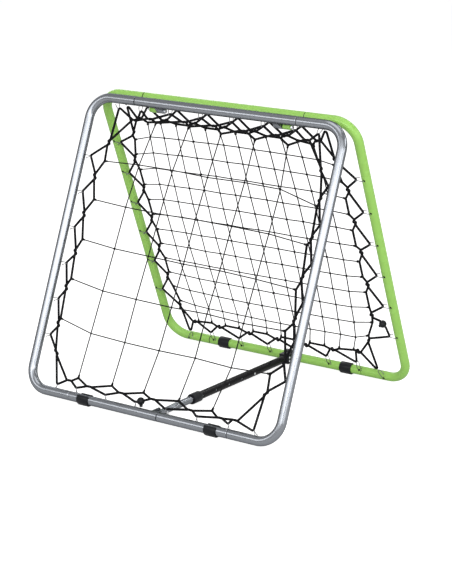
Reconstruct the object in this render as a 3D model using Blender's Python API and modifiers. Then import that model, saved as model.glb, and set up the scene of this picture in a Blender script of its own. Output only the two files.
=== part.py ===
"""Two-sided football target net.

Two square tube frames, one silver and one green, lean together like an A and turn on a pair of
hinges under their top tubes. Each holds a net that an elastic lacing cord stretches from wire
hooks in the tube. A telescopic strut with a row of holes sets how far the feet stand apart.
Metres, X along the tubes, the silver front at -Y, +Z up, origin on the ground at the centre.
"""

import math
from dataclasses import dataclass

import bmesh
import bpy
from mathutils import Matrix, Vector

# Frames
FRAME_WIDTH = 0.840
FRONT_SIDE = 0.812
REAR_EXTRA = 0.007
REAR_SIDE = FRONT_SIDE + REAR_EXTRA
TUBE_RADIUS = 0.0127
TUBE_WALL = 0.0012
BEND_RADIUS = 0.060
FOOT_SPACING = 0.643
TOP_OFFSET = 0.01995
LEAN = math.asin((FOOT_SPACING / 2 - TOP_OFFSET) / FRONT_SIDE)
TUBE_SIDES = 12
BEND_STEPS = 5
CORD_SIDES = 4

# Joints between the tubes of a frame
CORNER_SEAM_X = 0.262
CENTRE_SEAM_X = 0.036
SPIGOT_LENGTH = 0.040
SHOULDER_LENGTH = 0.003

# Clearances
GAP = 0.0003

# Hinges
HINGE_DROP = 0.0220
HINGE_X = 0.191
EAR_WIDTH = 0.023
EAR_SPACE = 0.0020
EAR_RADIUS = 0.0075
HINGE_BOLT_RADIUS = 0.0030
HINGE_HEAD_RADIUS = 0.0055
HINGE_HEAD_HEIGHT = 0.0040
HINGE_NUT_RADIUS = 0.0058
HINGE_NUT_HEIGHT = 0.0050
BOLT_TAIL = 0.0020
WASHER_RADIUS = 0.0060

# Foot clips
CLIP_X = 0.209
CLIP_LENGTH = 0.037
CLIP_WALL = 0.0027
CLIP_SLOT_HALF_ANGLE = math.radians(33)
CLIP_FOOT_WIDTH = 0.014
FRONT_SLOT_ANGLE = math.radians(90)
REAR_SLOT_ANGLE = math.radians(40)

# Hooks and cords
HOOK_PITCH = 0.100
HOOKS_PER_STRAIGHT = 6
CORNER_HOOK_X = 0.335
HOOK_HOLE_RADIUS = 0.0020
HOOK_WIRE_RADIUS = 0.0010
HOOK_RISE = 0.0025
HOOK_DEPTH = 0.0040
CORNER_TIP_INSET = 0.021
CORNER_TIP_SHIFT = 0.012
NET_LEVEL = 0.012
LACING_RADIUS = 0.0025
BORDER_RADIUS = 0.0030
CORD_GAP = 0.0005
BOUND_HALF = 0.008
STRAND_STANDOFF = 0.007

# Cord locks
LOCK_RADIUS = 0.0105
LOCK_BORE_RADIUS = 0.0046
LOCK_BORE_DEPTH = 0.0075
LOCK_CORD_HOLE_RADIUS = 0.0032
PLUNGER_NUB = 0.0050
PLUNGER_FOOT = 0.0005
PLUNGER_TRAVEL = 0.0030
LOCK_SPRING_WALL = 0.0010

# Strut
STRUT_X = 0.020
STRUT_PIN_DISTANCE = 0.040
BRACKET_INNER_WIDTH = 0.025
BRACKET_WALL = 0.0020
BRACKET_END_RADIUS = 0.0090
STRUT_BOLT_RADIUS = 0.0025
STRUT_HEAD_RADIUS = 0.0048
STRUT_HEAD_HEIGHT = 0.0030
STRUT_NUT_RADIUS = 0.0046
STRUT_NUT_HEIGHT = 0.0040
INNER_TUBE_RADIUS = 0.0095
OUTER_TUBE_RADIUS = 0.0110
STRUT_WALL = 0.0012
FLAT_WIDTH = 0.024
FLAT_THICKNESS = 0.0090
FLAT_END = 0.0090
FLAT_LENGTH = 0.0350
FLARE_LENGTH = 0.0450
COLLAR_START = 0.1245
COLLAR_LENGTH = 0.036
COLLAR_WALL = 0.0027
COLLAR_LIP = 0.0025
HOLE_PITCH = 0.060
HOLE_COUNT = 5
FIRST_HOLE = 0.1665
STRUT_HOLE_RADIUS = 0.0040
BUTTON_RADIUS = 0.0034
BUTTON_STANDOUT = 0.0010
LEAF_REACH = 0.0068
LEAF_BEND = 0.016
LEAF_TAIL = 0.0070
LEAF_WIDTH = 0.0080
LEAF_THICKNESS = 0.0008
INNER_TUBE_TAIL = 0.020

# Snap hook at the rear end of the strut
JAW_CLEARANCE = 0.0022
JAW_WALL = 0.0041
JAW_WIDTH = 0.030
JAW_REAR_ANGLE = math.radians(-25)
JAW_BLOCK_LENGTH = 0.0385
JAW_BLOCK_TOP = 0.0140
JAW_BLOCK_BOTTOM = 0.0130
PLUG_LENGTH = 0.021
JAW_SCREW_RADIUS = 0.0015
JAW_SCREW_HEAD_RADIUS = 0.0032
JAW_SCREW_HEAD_HEIGHT = 0.0020
JAW_SCREW_LENGTH = 0.0080
JAW_SCREW_FRONT = 0.0300
JAW_SCREW_SPACING = 0.0100

HALF_WIDTH = FRAME_WIDTH / 2 - TUBE_RADIUS
CLIP_OUTER = TUBE_RADIUS + GAP + CLIP_WALL
TUBE_HEIGHT = CLIP_OUTER
SPIGOT_RADIUS = TUBE_RADIUS - TUBE_WALL - GAP


@dataclass(frozen=True)
class Edge:
    """Route of the cords along one side, as places of progress along it and inset from its tube."""

    hook_shift: float
    hole_inset: float
    tip_inset: float
    bound: tuple
    corner_inset: float
    corner_rise: float
    ties: tuple


@dataclass(frozen=True)
class Net:
    strands: int
    column_pitch: float
    row_pitch: float
    column_bulge: float
    row_bulge: float
    skew: float
    slope: float
    rise: float
    strand_radius: float
    edges: tuple


@dataclass(frozen=True)
class Frame:
    name: str
    facing: int
    side: float
    net: Net
    slot_angle: float
    lock_station: int
    lock_share: float
    lock_sag: float


def even_ties(count, pitch, shift, first, inset, last):
    """Strand ends at an even pitch, whose outermost insets follow the corners."""
    insets = [first, *[inset] * (count - 2), last]
    return tuple((shift + (index - (count - 1) / 2) * pitch, insets[index]) for index in range(count))


# The cords' routes were chosen by hand. Each tuple runs anticlockwise as seen from the front.
FRONT_LEFT = Edge(
    hook_shift=0.006, hole_inset=0, tip_inset=0.024,
    bound=((-0.188, 0.054), (-0.082, 0.046), (0.024, 0.046), (0.123, 0.042), (0.225, 0.043)),
    corner_inset=0.058, corner_rise=0.106,
    ties=((-0.234, 0.076), (-0.126, 0.069), (-0.014, 0.060), (0.097, 0.052), (0.208, 0.047)),
)
FRONT_BOTTOM = Edge(
    hook_shift=-0.006, hole_inset=0, tip_inset=0.024,
    bound=(
        (-0.285, 0.039), (-0.215, 0.035), (-0.106, 0.038), (-0.001, 0.041), (0.121, 0.036),
        (0.216, 0.034), (0.262, 0.037),
    ),
    corner_inset=0.072, corner_rise=0.119,
    ties=((-0.256, 0.051), (-0.141, 0.051), (-0.035, 0.052), (0.080, 0.052), (0.188, 0.047)),
)
FRONT_RIGHT = Edge(
    hook_shift=0.004, hole_inset=0, tip_inset=0.023,
    bound=((-0.199, 0.038), (-0.091, 0.036), (0.016, 0.041), (0.118, 0.039), (0.218, 0.039)),
    corner_inset=0.055, corner_rise=0.113,
    ties=((-0.236, 0.072), (-0.123, 0.056), (-0.016, 0.051), (0.100, 0.048), (0.200, 0.043)),
)
FRONT_TOP = Edge(
    hook_shift=-0.002, hole_inset=0, tip_inset=0.021,
    bound=(
        (-0.292, 0.043), (-0.194, 0.041), (-0.093, 0.041), (0.004, 0.038), (0.100, 0.038),
        (0.213, 0.042), (0.261, 0.050),
    ),
    corner_inset=0.076, corner_rise=0.120,
    ties=((-0.239, 0.062), (-0.136, 0.059), (-0.027, 0.056), (0.080, 0.048), (0.189, 0.050)),
)
REAR_LEFT = Edge(
    hook_shift=-0.008, hole_inset=0, tip_inset=0.023,
    bound=((-0.209, 0.059), (-0.110, 0.060), (-0.009, 0.058), (0.091, 0.055), (0.189, 0.057)),
    corner_inset=0.073, corner_rise=0.115,
    ties=even_ties(12, 0.0497, 0, 0.079, 0.066, 0.078),
)
REAR_BOTTOM = Edge(
    hook_shift=0.005, hole_inset=0.0085, tip_inset=0.037,
    bound=(
        (-0.294, 0.067), (-0.207, 0.065), (-0.102, 0.064), (-0.004, 0.063), (0.093, 0.063),
        (0.182, 0.067), (0.269, 0.079),
    ),
    corner_inset=0.095, corner_rise=0.126,
    ties=even_ties(12, 0.0484, -0.0125, 0.070, 0.074, 0.080),
)
REAR_RIGHT = Edge(
    hook_shift=-0.006, hole_inset=0, tip_inset=0.0225,
    bound=((-0.193, 0.067), (-0.091, 0.059), (0.013, 0.057), (0.109, 0.057), (0.208, 0.056)),
    corner_inset=0.075, corner_rise=0.112,
    ties=even_ties(12, 0.0497, 0.006, 0.092, 0.069, 0.080),
)
REAR_TOP = Edge(
    hook_shift=0, hole_inset=0, tip_inset=0.022,
    bound=(
        (-0.292, 0.060), (-0.192, 0.058), (-0.090, 0.058), (0.009, 0.058), (0.107, 0.058),
        (0.205, 0.060), (0.291, 0.064),
    ),
    corner_inset=0.079, corner_rise=0.117,
    ties=even_ties(12, 0.0490, -0.004, 0.074, 0.067, 0.074),
)
FRONT_NET = Net(
    strands=5, column_pitch=0.1168, row_pitch=0.1172, column_bulge=0.002, row_bulge=0,
    skew=0.070, slope=-0.018, rise=-0.002, strand_radius=0.0012,
    edges=(FRONT_LEFT, FRONT_BOTTOM, FRONT_RIGHT, FRONT_TOP),
)
REAR_NET = Net(
    strands=12, column_pitch=0.0523, row_pitch=0.0528, column_bulge=0.0133, row_bulge=0.0048,
    skew=0.013, slope=0, rise=0.004, strand_radius=0.0011,
    edges=(REAR_LEFT, REAR_BOTTOM, REAR_RIGHT, REAR_TOP),
)
FRONT = Frame("front", -1, FRONT_SIDE, FRONT_NET, FRONT_SLOT_ANGLE, 9, 0.42, 0.002)
REAR = Frame("rear", 1, REAR_SIDE, REAR_NET, REAR_SLOT_ANGLE, 14, 0.55, 0.010)


def world(frame, x, along, inward):
    """World point of a place on a frame: x, distance up the slope and distance inward."""
    y = FOOT_SPACING / 2 - along * math.sin(LEAN) - inward * math.cos(LEAN)
    z = TUBE_HEIGHT + along * math.cos(LEAN) - inward * math.sin(LEAN)
    return Vector((x, frame.facing * y, z))


HINGE_HEIGHT = world(FRONT, 0, FRONT_SIDE, 0).z - HINGE_DROP
HINGE_ORIGIN = Vector((0, 0, HINGE_HEIGHT))
STRUT_PIN = Vector((STRUT_X, STRUT_PIN_DISTANCE - FOOT_SPACING / 2, TUBE_HEIGHT))


def clear_scene():
    for obj in list(bpy.data.objects):
        bpy.data.objects.remove(obj)


def new_collection(name):
    collection = bpy.data.collections.new(name)
    bpy.context.scene.collection.children.link(collection)
    return collection


def material(name, color, roughness, metallic=0.0):
    made = bpy.data.materials.new(name)
    made.use_nodes = True
    shader = made.node_tree.nodes["Principled BSDF"]
    shader.inputs["Base Color"].default_value = (*color, 1.0)
    shader.inputs["Roughness"].default_value = roughness
    shader.inputs["Metallic"].default_value = metallic
    return made


def silver_paint(name):
    return material(name, (0.50, 0.53, 0.57), 0.35, 0.8)


def green_paint(name):
    return material(name, (0.30, 0.58, 0.11), 0.35)


def black_plastic(name):
    return material(name, (0.02, 0.02, 0.022), 0.45)


def cord_fabric(name):
    return material(name, (0.012, 0.012, 0.013), 0.85)


def bright_steel(name):
    return material(name, (0.70, 0.71, 0.73), 0.25, 1.0)


clear_scene()
PARTS = new_collection("football_target_net")
CUTTERS = new_collection("cutters")


def empty(name, location, parent=None, tilt=0.0):
    """A marker that stands where pieces are measured from, given in world coordinates."""
    marker = bpy.data.objects.new(name, None)
    PARTS.objects.link(marker)
    marker.parent = parent
    marker.location = location - (parent.location if parent else Vector())
    marker.rotation_euler = (tilt, 0, 0)
    return marker


def finish(obj, make_material, parent=None, location=(0, 0, 0), rotation=(0, 0, 0)):
    """Gives a piece its own material, its parent and its place."""
    obj.data.materials.clear()
    obj.data.materials.append(make_material(obj.name))
    obj.parent = parent
    obj.location = location
    obj.rotation_euler = rotation
    return obj


def as_cutter(obj, parent=None, location=(0, 0, 0), rotation=(0, 0, 0)):
    PARTS.objects.unlink(obj)
    CUTTERS.objects.link(obj)
    obj.hide_render = True
    obj.display_type = "WIRE"
    obj.parent = parent
    obj.location = location
    obj.rotation_euler = rotation
    return obj


def combine(obj, other, operation):
    boolean = obj.modifiers.new(operation.lower(), "BOOLEAN")
    boolean.operation = operation
    boolean.object = other
    boolean.solver = "EXACT"


def mesh_from(curve, name):
    """The welded mesh object of a curve, which is then removed."""
    source = bpy.data.objects.new(name + "_curve", curve)
    PARTS.objects.link(source)
    evaluated = source.evaluated_get(bpy.context.evaluated_depsgraph_get())
    mesh = bpy.data.meshes.new_from_object(evaluated)
    bpy.data.objects.remove(source)
    welded = bmesh.new()
    welded.from_mesh(mesh)
    bmesh.ops.remove_doubles(welded, verts=welded.verts, dist=1e-6)
    welded.to_mesh(mesh)
    welded.free()
    mesh.name = name
    obj = bpy.data.objects.new(name, mesh)
    PARTS.objects.link(obj)
    return obj


def rod(name, paths, radius, sides, capped=True, cyclic=False, swells=None):
    """Round stock of a few sides along one or more paths; swells scale the radius by point."""
    curve = bpy.data.curves.new(name, "CURVE")
    curve.dimensions = "3D"
    curve.bevel_depth = radius
    curve.bevel_resolution = (sides - 4) // 2
    curve.use_fill_caps = capped
    curve.render_resolution_u = 0
    for path in paths:
        spline = curve.splines.new("POLY")
        spline.points.add(len(path) - 1)
        spline.use_cyclic_u = cyclic
        for index, point in enumerate(path):
            spline.points[index].co = (*point, 1)
            spline.points[index].radius = swells[index] if swells else 1
    return mesh_from(curve, name)


def plate(name, outlines, depth):
    """Flat outlines in local XY, the first with the others as holes, depth thick along Z."""
    curve = bpy.data.curves.new(name, "CURVE")
    curve.dimensions = "2D"
    curve.fill_mode = "BOTH"
    curve.extrude = depth / 2
    curve.render_resolution_u = 0
    for outline in outlines:
        spline = curve.splines.new("POLY")
        spline.points.add(len(outline) - 1)
        spline.use_cyclic_u = True
        for index, (x, y) in enumerate(outline):
            spline.points[index].co = (x, y, 0, 1)
    return mesh_from(curve, name)


def turned(name, profile, steps):
    """A profile of (radius, height) points, from the top down its outer side, turned about Z."""
    mesh = bpy.data.meshes.new(name)
    points = [(radius, 0, height) for radius, height in profile]
    closed = profile[0][0] > 0
    edges = [(index, index + 1) for index in range(len(points) - 1)]
    if closed:
        edges.append((len(points) - 1, 0))
    mesh.from_pydata(points, edges, [])
    obj = bpy.data.objects.new(name, mesh)
    PARTS.objects.link(obj)
    screw = obj.modifiers.new("turn", "SCREW")
    screw.steps = steps
    screw.render_steps = steps
    screw.use_merge_vertices = True
    screw.merge_threshold = 0.00001
    return obj


def arc(centre, radius, start, end, steps):
    """Points on an arc, both ends included, angles in radians."""
    angles = [start + (end - start) * step / steps for step in range(steps + 1)]
    return [
        (centre[0] + radius * math.cos(angle), centre[1] + radius * math.sin(angle))
        for angle in angles
    ]


def over_flats(radius, steps, span=math.tau):
    """Corner radius of a faceted round whose flats lie at the given radius."""
    return radius / math.cos(span / steps / 2)


def hollow_arc(centre, radius, start, end, steps):
    """An arc whose chords stay outside the radius, for a seat round a bar."""
    return arc(centre, over_flats(radius, steps, abs(end - start)), start, end, steps)


def circle(centre, radius, sides):
    return arc(centre, radius, 0, math.tau * (sides - 1) / sides, sides - 1)


def bore(centre, radius, sides):
    return circle(centre, over_flats(radius, sides), sides)


def cylinder(name, radius, low, high, sides):
    """A cylinder along local X from low to high, of the given corner radius."""
    bpy.ops.mesh.primitive_cylinder_add(vertices=sides, radius=radius, depth=high - low)
    obj = bpy.context.active_object
    obj.name = name
    for collection in list(obj.users_collection):
        collection.objects.unlink(obj)
    PARTS.objects.link(obj)
    along_x = Matrix.Rotation(math.pi / 2, 4, "Y")
    obj.data.transform(Matrix.Translation(((low + high) / 2, 0, 0)) @ along_x)
    return obj


def on_frame(frame, point, inward):
    """A frame's own coordinates of a flat place and its distance inward."""
    return Vector((point[0], point[1], frame.facing * inward))


def straight_hooks():
    """Distances of the hooks from the middle of a side."""
    return [(index - (HOOKS_PER_STRAIGHT - 1) / 2) * HOOK_PITCH for index in range(HOOKS_PER_STRAIGHT)]


@dataclass(frozen=True)
class Side:
    """One side of the lacing, walked anticlockwise as seen from the front."""

    origin: Vector
    travel: Vector
    inside: Vector
    hooks: tuple
    crosses: bool
    edge: Edge

    def point(self, progress, inset):
        return self.origin + self.travel * progress + self.inside * inset

    def at_corner(self, hook):
        return abs(hook) == CORNER_HOOK_X

    def hole(self, hook):
        """Place of a hook's hole, which is turned to the net where it has an inset."""
        return self.point(hook, 0 if self.at_corner(hook) else self.edge.hole_inset)

    def tip(self, hook):
        """Where a hook holds the lacing; the corner hooks lean to the middle."""
        if self.at_corner(hook):
            return self.point(hook - math.copysign(CORNER_TIP_SHIFT, hook), CORNER_TIP_INSET)
        return self.point(hook, self.edge.tip_inset)


def sides(frame):
    middle = frame.side / 2
    left, down = Vector((-1, 0)), Vector((0, -1))
    layout = (
        (Vector((-HALF_WIDTH, middle)), down, -left, False),
        (Vector((0, 0)), -left, -down, True),
        (Vector((HALF_WIDTH, middle)), -down, left, False),
        (Vector((0, frame.side)), left, down, True),
    )
    made = []
    for edge, (origin, travel, inside, crosses) in zip(frame.net.edges, layout):
        hooks = [hook + edge.hook_shift for hook in straight_hooks()]
        if crosses:
            hooks = [-CORNER_HOOK_X, *hooks, CORNER_HOOK_X]
        made.append(Side(origin, travel, inside, tuple(hooks), crosses, edge))
    return made


def corner_place(frame, side, following):
    """The bound place that cuts the corner between two sides."""
    low = side.travel.y < 0 or following.travel.y > 0
    right = side.travel.x > 0 or following.travel.x < 0
    x = HALF_WIDTH - side.edge.corner_inset
    rise = side.edge.corner_rise
    return Vector((x if right else -x, rise if low else frame.side - rise))


def strand_numbers(net):
    """The strands' places in pitches from the middle, low to high."""
    return [index - (net.strands - 1) / 2 for index in range(net.strands)]


def node(frame, column, row):
    """Crossing of a column and a row of the net, which bulges a little at its middle."""
    net = frame.net
    outermost = (net.strands - 1) / 2
    c, r = column / outermost, row / outermost
    across = column * net.column_pitch - c * r * r * net.column_bulge
    up = row * net.row_pitch - r * c * c * net.row_bulge
    return Vector((across + net.skew * up, frame.side / 2 + net.rise + up + net.slope * across))


def strand_end(frame, side, number):
    """Where a strand is tied to the border rope on one side, as progress and inset."""
    order = strand_numbers(frame.net)
    if side.travel.x + side.travel.y < 0:
        order.reverse()
    progress, inset = side.edge.ties[order.index(number)]
    clear = BOUND_HALF + STRAND_STANDOFF
    for place, _ in side.edge.bound:
        if abs(progress - place) < clear:
            progress = place + math.copysign(clear, progress - place)
    return progress, inset


def bound_stretch(centre, before, after):
    """Both ends of a bound place, lying along the line between the hooks around it."""
    direction = (after - before).normalized()
    return [centre - direction * BOUND_HALF, centre + direction * BOUND_HALF]


def lacing_stations(frame):
    """The hooks' tips and the bound places in the order that the lacing takes them."""
    loop = sides(frame)
    stations = []
    for index, side in enumerate(loop):
        following = loop[(index + 1) % len(loop)]
        tips = [side.tip(hook) for hook in side.hooks]
        centres = [side.point(*place) for place in side.edge.bound]
        centres.append(corner_place(frame, side, following))
        tips.append(following.tip(following.hooks[0]))
        last = len(centres) - 1
        for number, centre in enumerate(centres):
            sharp = side.crosses and number in (0, last)
            stations.append((tips[number], sharp, bound_stretch(centre, tips[number], tips[number + 1])))
    return stations


def border_path(frame):
    """Closed route of the border rope: bound places and strand ends in turn."""
    loop = sides(frame)
    path = []
    for index, side in enumerate(loop):
        stops = []
        for number in strand_numbers(frame.net):
            progress, inset = strand_end(frame, side, number)
            stops.append((progress, [side.point(progress, inset)]))
        tips = [side.tip(hook) for hook in side.hooks]
        for number, place in enumerate(side.edge.bound):
            stops.append((place[0], bound_stretch(side.point(*place), tips[number], tips[number + 1])))
        for _, points in sorted(stops, key=lambda stop: stop[0]):
            path.extend(points)
        following = loop[(index + 1) % len(loop)]
        next_tip = following.tip(following.hooks[0])
        path.extend(bound_stretch(corner_place(frame, side, following), tips[-1], next_tip))
    return path


def tube_path_side(frame, sign):
    """Centre line of a bent side tube, from its top seam round to its bottom seam."""
    corner = HALF_WIDTH - BEND_RADIUS
    low, high = BEND_RADIUS, frame.side - BEND_RADIUS
    top = arc((corner, high), BEND_RADIUS, math.pi / 2, 0, BEND_STEPS)
    bottom = arc((corner, low), BEND_RADIUS, 0, -math.pi / 2, BEND_STEPS)
    outline = [(CORNER_SEAM_X, frame.side), *top, *bottom, (CORNER_SEAM_X, 0)]
    return [Vector((sign * x, y, 0)) for x, y in outline]


def hook_hole(frame, side, hook, depth):
    """A place in a hook's hole at a depth from the tube's axis, square to its wall."""
    flat = side.hole(hook)
    inset = (flat - side.point(hook, 0)).length
    turn = math.asin(inset / TUBE_RADIUS)
    outward = side.point(hook, depth * math.sin(turn))
    return on_frame(frame, outward, depth * math.cos(turn))


def hook_hole_cutter(frame, name, holes, parent):
    """Drills through the wall at the given sides and hooks."""
    wall = TUBE_RADIUS - TUBE_WALL / 2
    depths = (wall - TUBE_WALL * 2, wall + TUBE_WALL * 2)
    paths = [[hook_hole(frame, side, hook, depth) for depth in depths] for side, hook in holes]
    return as_cutter(rod(name + "_drills", paths, HOOK_HOLE_RADIUS, 6), parent)


def hollow_tube(name, path, frame, parent, holes, swells=None):
    tube = rod(name, [path], TUBE_RADIUS, TUBE_SIDES, capped=False, swells=swells)
    shell = tube.modifiers.new("wall", "SOLIDIFY")
    shell.thickness = TUBE_WALL
    shell.offset = -1
    combine(tube, hook_hole_cutter(frame, name, holes, parent), "DIFFERENCE")
    paint = silver_paint if frame is FRONT else green_paint
    return finish(tube, paint, parent)


def straight_tube(name, frame, parent, side, low, high, low_spigot, high_spigot):
    """A tube along X between two seams, with a swaged spigot at each end that has one."""
    narrow = SPIGOT_RADIUS / TUBE_RADIUS
    stops = []
    if low_spigot:
        stops += [(low - SPIGOT_LENGTH, narrow), (low + GAP, narrow), (low + GAP + SHOULDER_LENGTH, 1)]
    else:
        stops.append((low, 1))
    if high_spigot:
        stops += [(high - GAP - SHOULDER_LENGTH, 1), (high - GAP, narrow), (high + SPIGOT_LENGTH, narrow)]
    else:
        stops.append((high, 1))
    path = [Vector((x, side.origin.y, 0)) for x, _ in stops]
    holes = [(side, hook) for hook in side.hooks if low < side.point(hook, 0).x < high]
    return hollow_tube(name, path, frame, parent, holes, [swell for _, swell in stops])


def frame_tubes(frame, parent):
    left, bottom, right, top = sides(frame)
    for sign, side_name, upright in ((-1, "left", left), (1, "right", right)):
        holes = [(upright, hook) for hook in upright.hooks]
        for side in (bottom, top):
            holes.append((side, sign * side.travel.x * CORNER_HOOK_X))
        name = f"{frame.name}_side_tube_{side_name}"
        hollow_tube(name, tube_path_side(frame, sign), frame, parent, holes)
    seam, centre = CORNER_SEAM_X, CENTRE_SEAM_X
    straight_tube(f"{frame.name}_top_tube", frame, parent, top, -seam, seam, True, True)
    straight_tube(f"{frame.name}_bottom_tube_left", frame, parent, bottom, -seam, centre, True, False)
    straight_tube(f"{frame.name}_bottom_tube_right", frame, parent, bottom, centre, seam, True, True)


def ear_outline(distance, end_radius):
    """A lug round a pin at the origin, reaching up +Y to the saddle of a tube at a distance."""
    saddle = TUBE_RADIUS + GAP
    half_angle = math.asin(end_radius / saddle)
    down = -math.pi / 2
    rounded_end = arc((0, 0), end_radius, -math.pi, 0, 6)
    seat = hollow_arc((0, distance), saddle, down + half_angle, down - half_angle, 4)
    return rounded_end + seat


def hinge_ear(frame, sign, parent):
    """A lug under the top tube of one frame, bored for the hinge bolt."""
    names = {-1: "left", 1: "right"}
    tube = world(frame, 0, frame.side, 0) - HINGE_ORIGIN
    outline = ear_outline(tube.length, EAR_RADIUS)
    hole = bore((0, 0), HINGE_BOLT_RADIUS + GAP, 8)
    ear = plate(f"{frame.name}_hinge_ear_{names[sign]}", [outline, hole], EAR_WIDTH)
    step = 0 if frame is FRONT else EAR_WIDTH + EAR_SPACE
    centre = Vector((sign * (HINGE_X + step), 0, 0))
    # Local X, Y and Z become the direction across the lug, the one to the tube and the bolt's.
    up = tube.normalized()
    across = up.cross(Vector((1, 0, 0)))
    turn = Matrix((across, up, Vector((1, 0, 0)))).transposed()
    paint = silver_paint if frame is FRONT else green_paint
    origin = Vector() if parent else HINGE_ORIGIN
    return finish(ear, paint, parent, origin + centre, turn.to_euler())


def bolt(name, radius, head_radius, head_height, grip, tail, steps=10):
    """A bolt along -Z from under its head at the origin."""
    profile = [
        (0, head_height),
        (head_radius * 0.7, head_height),
        (head_radius, head_height * 0.6),
        (head_radius, 0),
        (radius, 0),
        (radius, -grip - tail),
        (0, -grip - tail),
    ]
    return turned(name, profile, steps)


def nut(name, radius, bore_radius, height):
    return plate(name, [circle((0, 0), radius, 6), bore((0, 0), bore_radius, 8)], height)


def hinge_fasteners(sign):
    names = {-1: "left", 1: "right"}
    along = (0, -sign * math.pi / 2, 0)
    near = HINGE_X - EAR_WIDTH / 2 - GAP
    far = HINGE_X + EAR_WIDTH * 1.5 + EAR_SPACE + GAP
    grip = far - near + GAP + HINGE_NUT_HEIGHT
    pin = bolt(
        f"hinge_bolt_{names[sign]}", HINGE_BOLT_RADIUS, HINGE_HEAD_RADIUS, HINGE_HEAD_HEIGHT, grip, BOLT_TAIL
    )
    finish(pin, bright_steel, None, HINGE_ORIGIN + Vector((sign * near, 0, 0)), along)
    lock_nut = nut(
        f"hinge_nut_{names[sign]}", HINGE_NUT_RADIUS, HINGE_BOLT_RADIUS + GAP, HINGE_NUT_HEIGHT
    )
    nut_x = sign * (far + HINGE_NUT_HEIGHT / 2)
    finish(lock_nut, bright_steel, None, HINGE_ORIGIN + Vector((nut_x, 0, 0)), along)
    rings = [circle((0, 0), WASHER_RADIUS, 10), bore((0, 0), HINGE_BOLT_RADIUS + GAP, 8)]
    washer = plate(f"hinge_washer_{names[sign]}", rings, EAR_SPACE - 2 * GAP)
    washer_x = sign * (HINGE_X + EAR_WIDTH / 2 + EAR_SPACE / 2)
    finish(washer, black_plastic, None, HINGE_ORIGIN + Vector((washer_x, 0, 0)), along)


def foot_clip(frame, sign, parent):
    """A split sleeve round the bottom tube with a flat foot under it."""
    names = {-1: "left", 1: "right"}
    foot_half = CLIP_FOOT_WIDTH / 2
    # The drawing's X points outward and its Y up.
    foot_angle = math.atan2(-math.sqrt(CLIP_OUTER**2 - foot_half**2) * 0.86, foot_half)
    before = frame.slot_angle - CLIP_SLOT_HALF_ANGLE
    after = frame.slot_angle + CLIP_SLOT_HALF_ANGLE
    outside = arc((0, 0), CLIP_OUTER, after, math.tau - math.pi - foot_angle, 5)
    foot = [(-foot_half, -TUBE_HEIGHT), (foot_half, -TUBE_HEIGHT)]
    rest = arc((0, 0), CLIP_OUTER, foot_angle, before, 5)
    inside = hollow_arc((0, 0), TUBE_RADIUS + GAP, before, after - math.tau, 10)
    clip = plate(f"{frame.name}_foot_clip_{names[sign]}", [outside + foot + rest + inside], CLIP_LENGTH)
    outward = Vector((0, frame.facing, 0))
    up = Vector((0, 0, 1))
    turn = Matrix((outward, up, outward.cross(up))).transposed()
    place = world(frame, sign * CLIP_X, 0, 0)
    origin = HINGE_ORIGIN if parent else Vector()
    return finish(clip, black_plastic, parent, place - origin, turn.to_euler())


def distance_to_path(point, path):
    """Distance of a flat place to a closed path."""
    nearest = []
    for start, end in zip(path, path[1:] + path[:1]):
        along = end - start
        share = max(0, min(1, (point - start).dot(along) / along.length_squared))
        nearest.append((point - start - along * share).length)
    return min(nearest)


def net_strands(frame, parent):
    """Rows and columns of the net, each tied just short of the border rope's surface."""
    net = frame.net
    left, bottom, right, top = sides(frame)
    numbers = strand_numbers(net)
    ends = numbers[0], numbers[-1]
    rope = border_path(frame)

    def tied(side, number, toward):
        end = side.point(*strand_end(frame, side, number))
        way = (toward - end).normalized()
        reach = BORDER_RADIUS + GAP
        while distance_to_path(end + way * reach, rope) < BORDER_RADIUS + GAP + net.strand_radius / 2:
            reach += GAP
        return end + way * reach

    def strand(first, second, number, at):
        inner = [at(number, ends[0]), at(number, ends[1])]
        flat = [tied(first, number, inner[0]), *inner, tied(second, number, inner[1])]
        return [on_frame(frame, point, NET_LEVEL) for point in flat]

    rows = [strand(left, right, row, lambda r, c: node(frame, c, r)) for row in numbers]
    columns = [strand(bottom, top, column, lambda c, r: node(frame, c, r)) for column in numbers]
    strands = rod(f"{frame.name}_net", rows, net.strand_radius, CORD_SIDES)
    crossing = rod(f"{frame.name}_net_columns", columns, net.strand_radius * 1.08, CORD_SIDES)
    combine(strands, as_cutter(crossing, parent), "UNION")
    return finish(strands, cord_fabric, parent)


def border_rope(frame, parent):
    path = [on_frame(frame, point, NET_LEVEL) for point in border_path(frame)]
    name = f"{frame.name}_border_rope"
    rope = rod(name, [path], BORDER_RADIUS, CORD_SIDES, capped=False, cyclic=True)
    return finish(rope, cord_fabric, parent)


def lock_place(frame):
    """Centre and cord direction of the cord lock, between a hook and a bound place."""
    tip, _, stretch = lacing_stations(frame)[frame.lock_station]
    direction = (stretch[0] - tip).normalized()
    toward_tube = Vector((direction.y, -direction.x))
    return tip.lerp(stretch[0], frame.lock_share) + toward_tube * frame.lock_sag, direction


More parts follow.
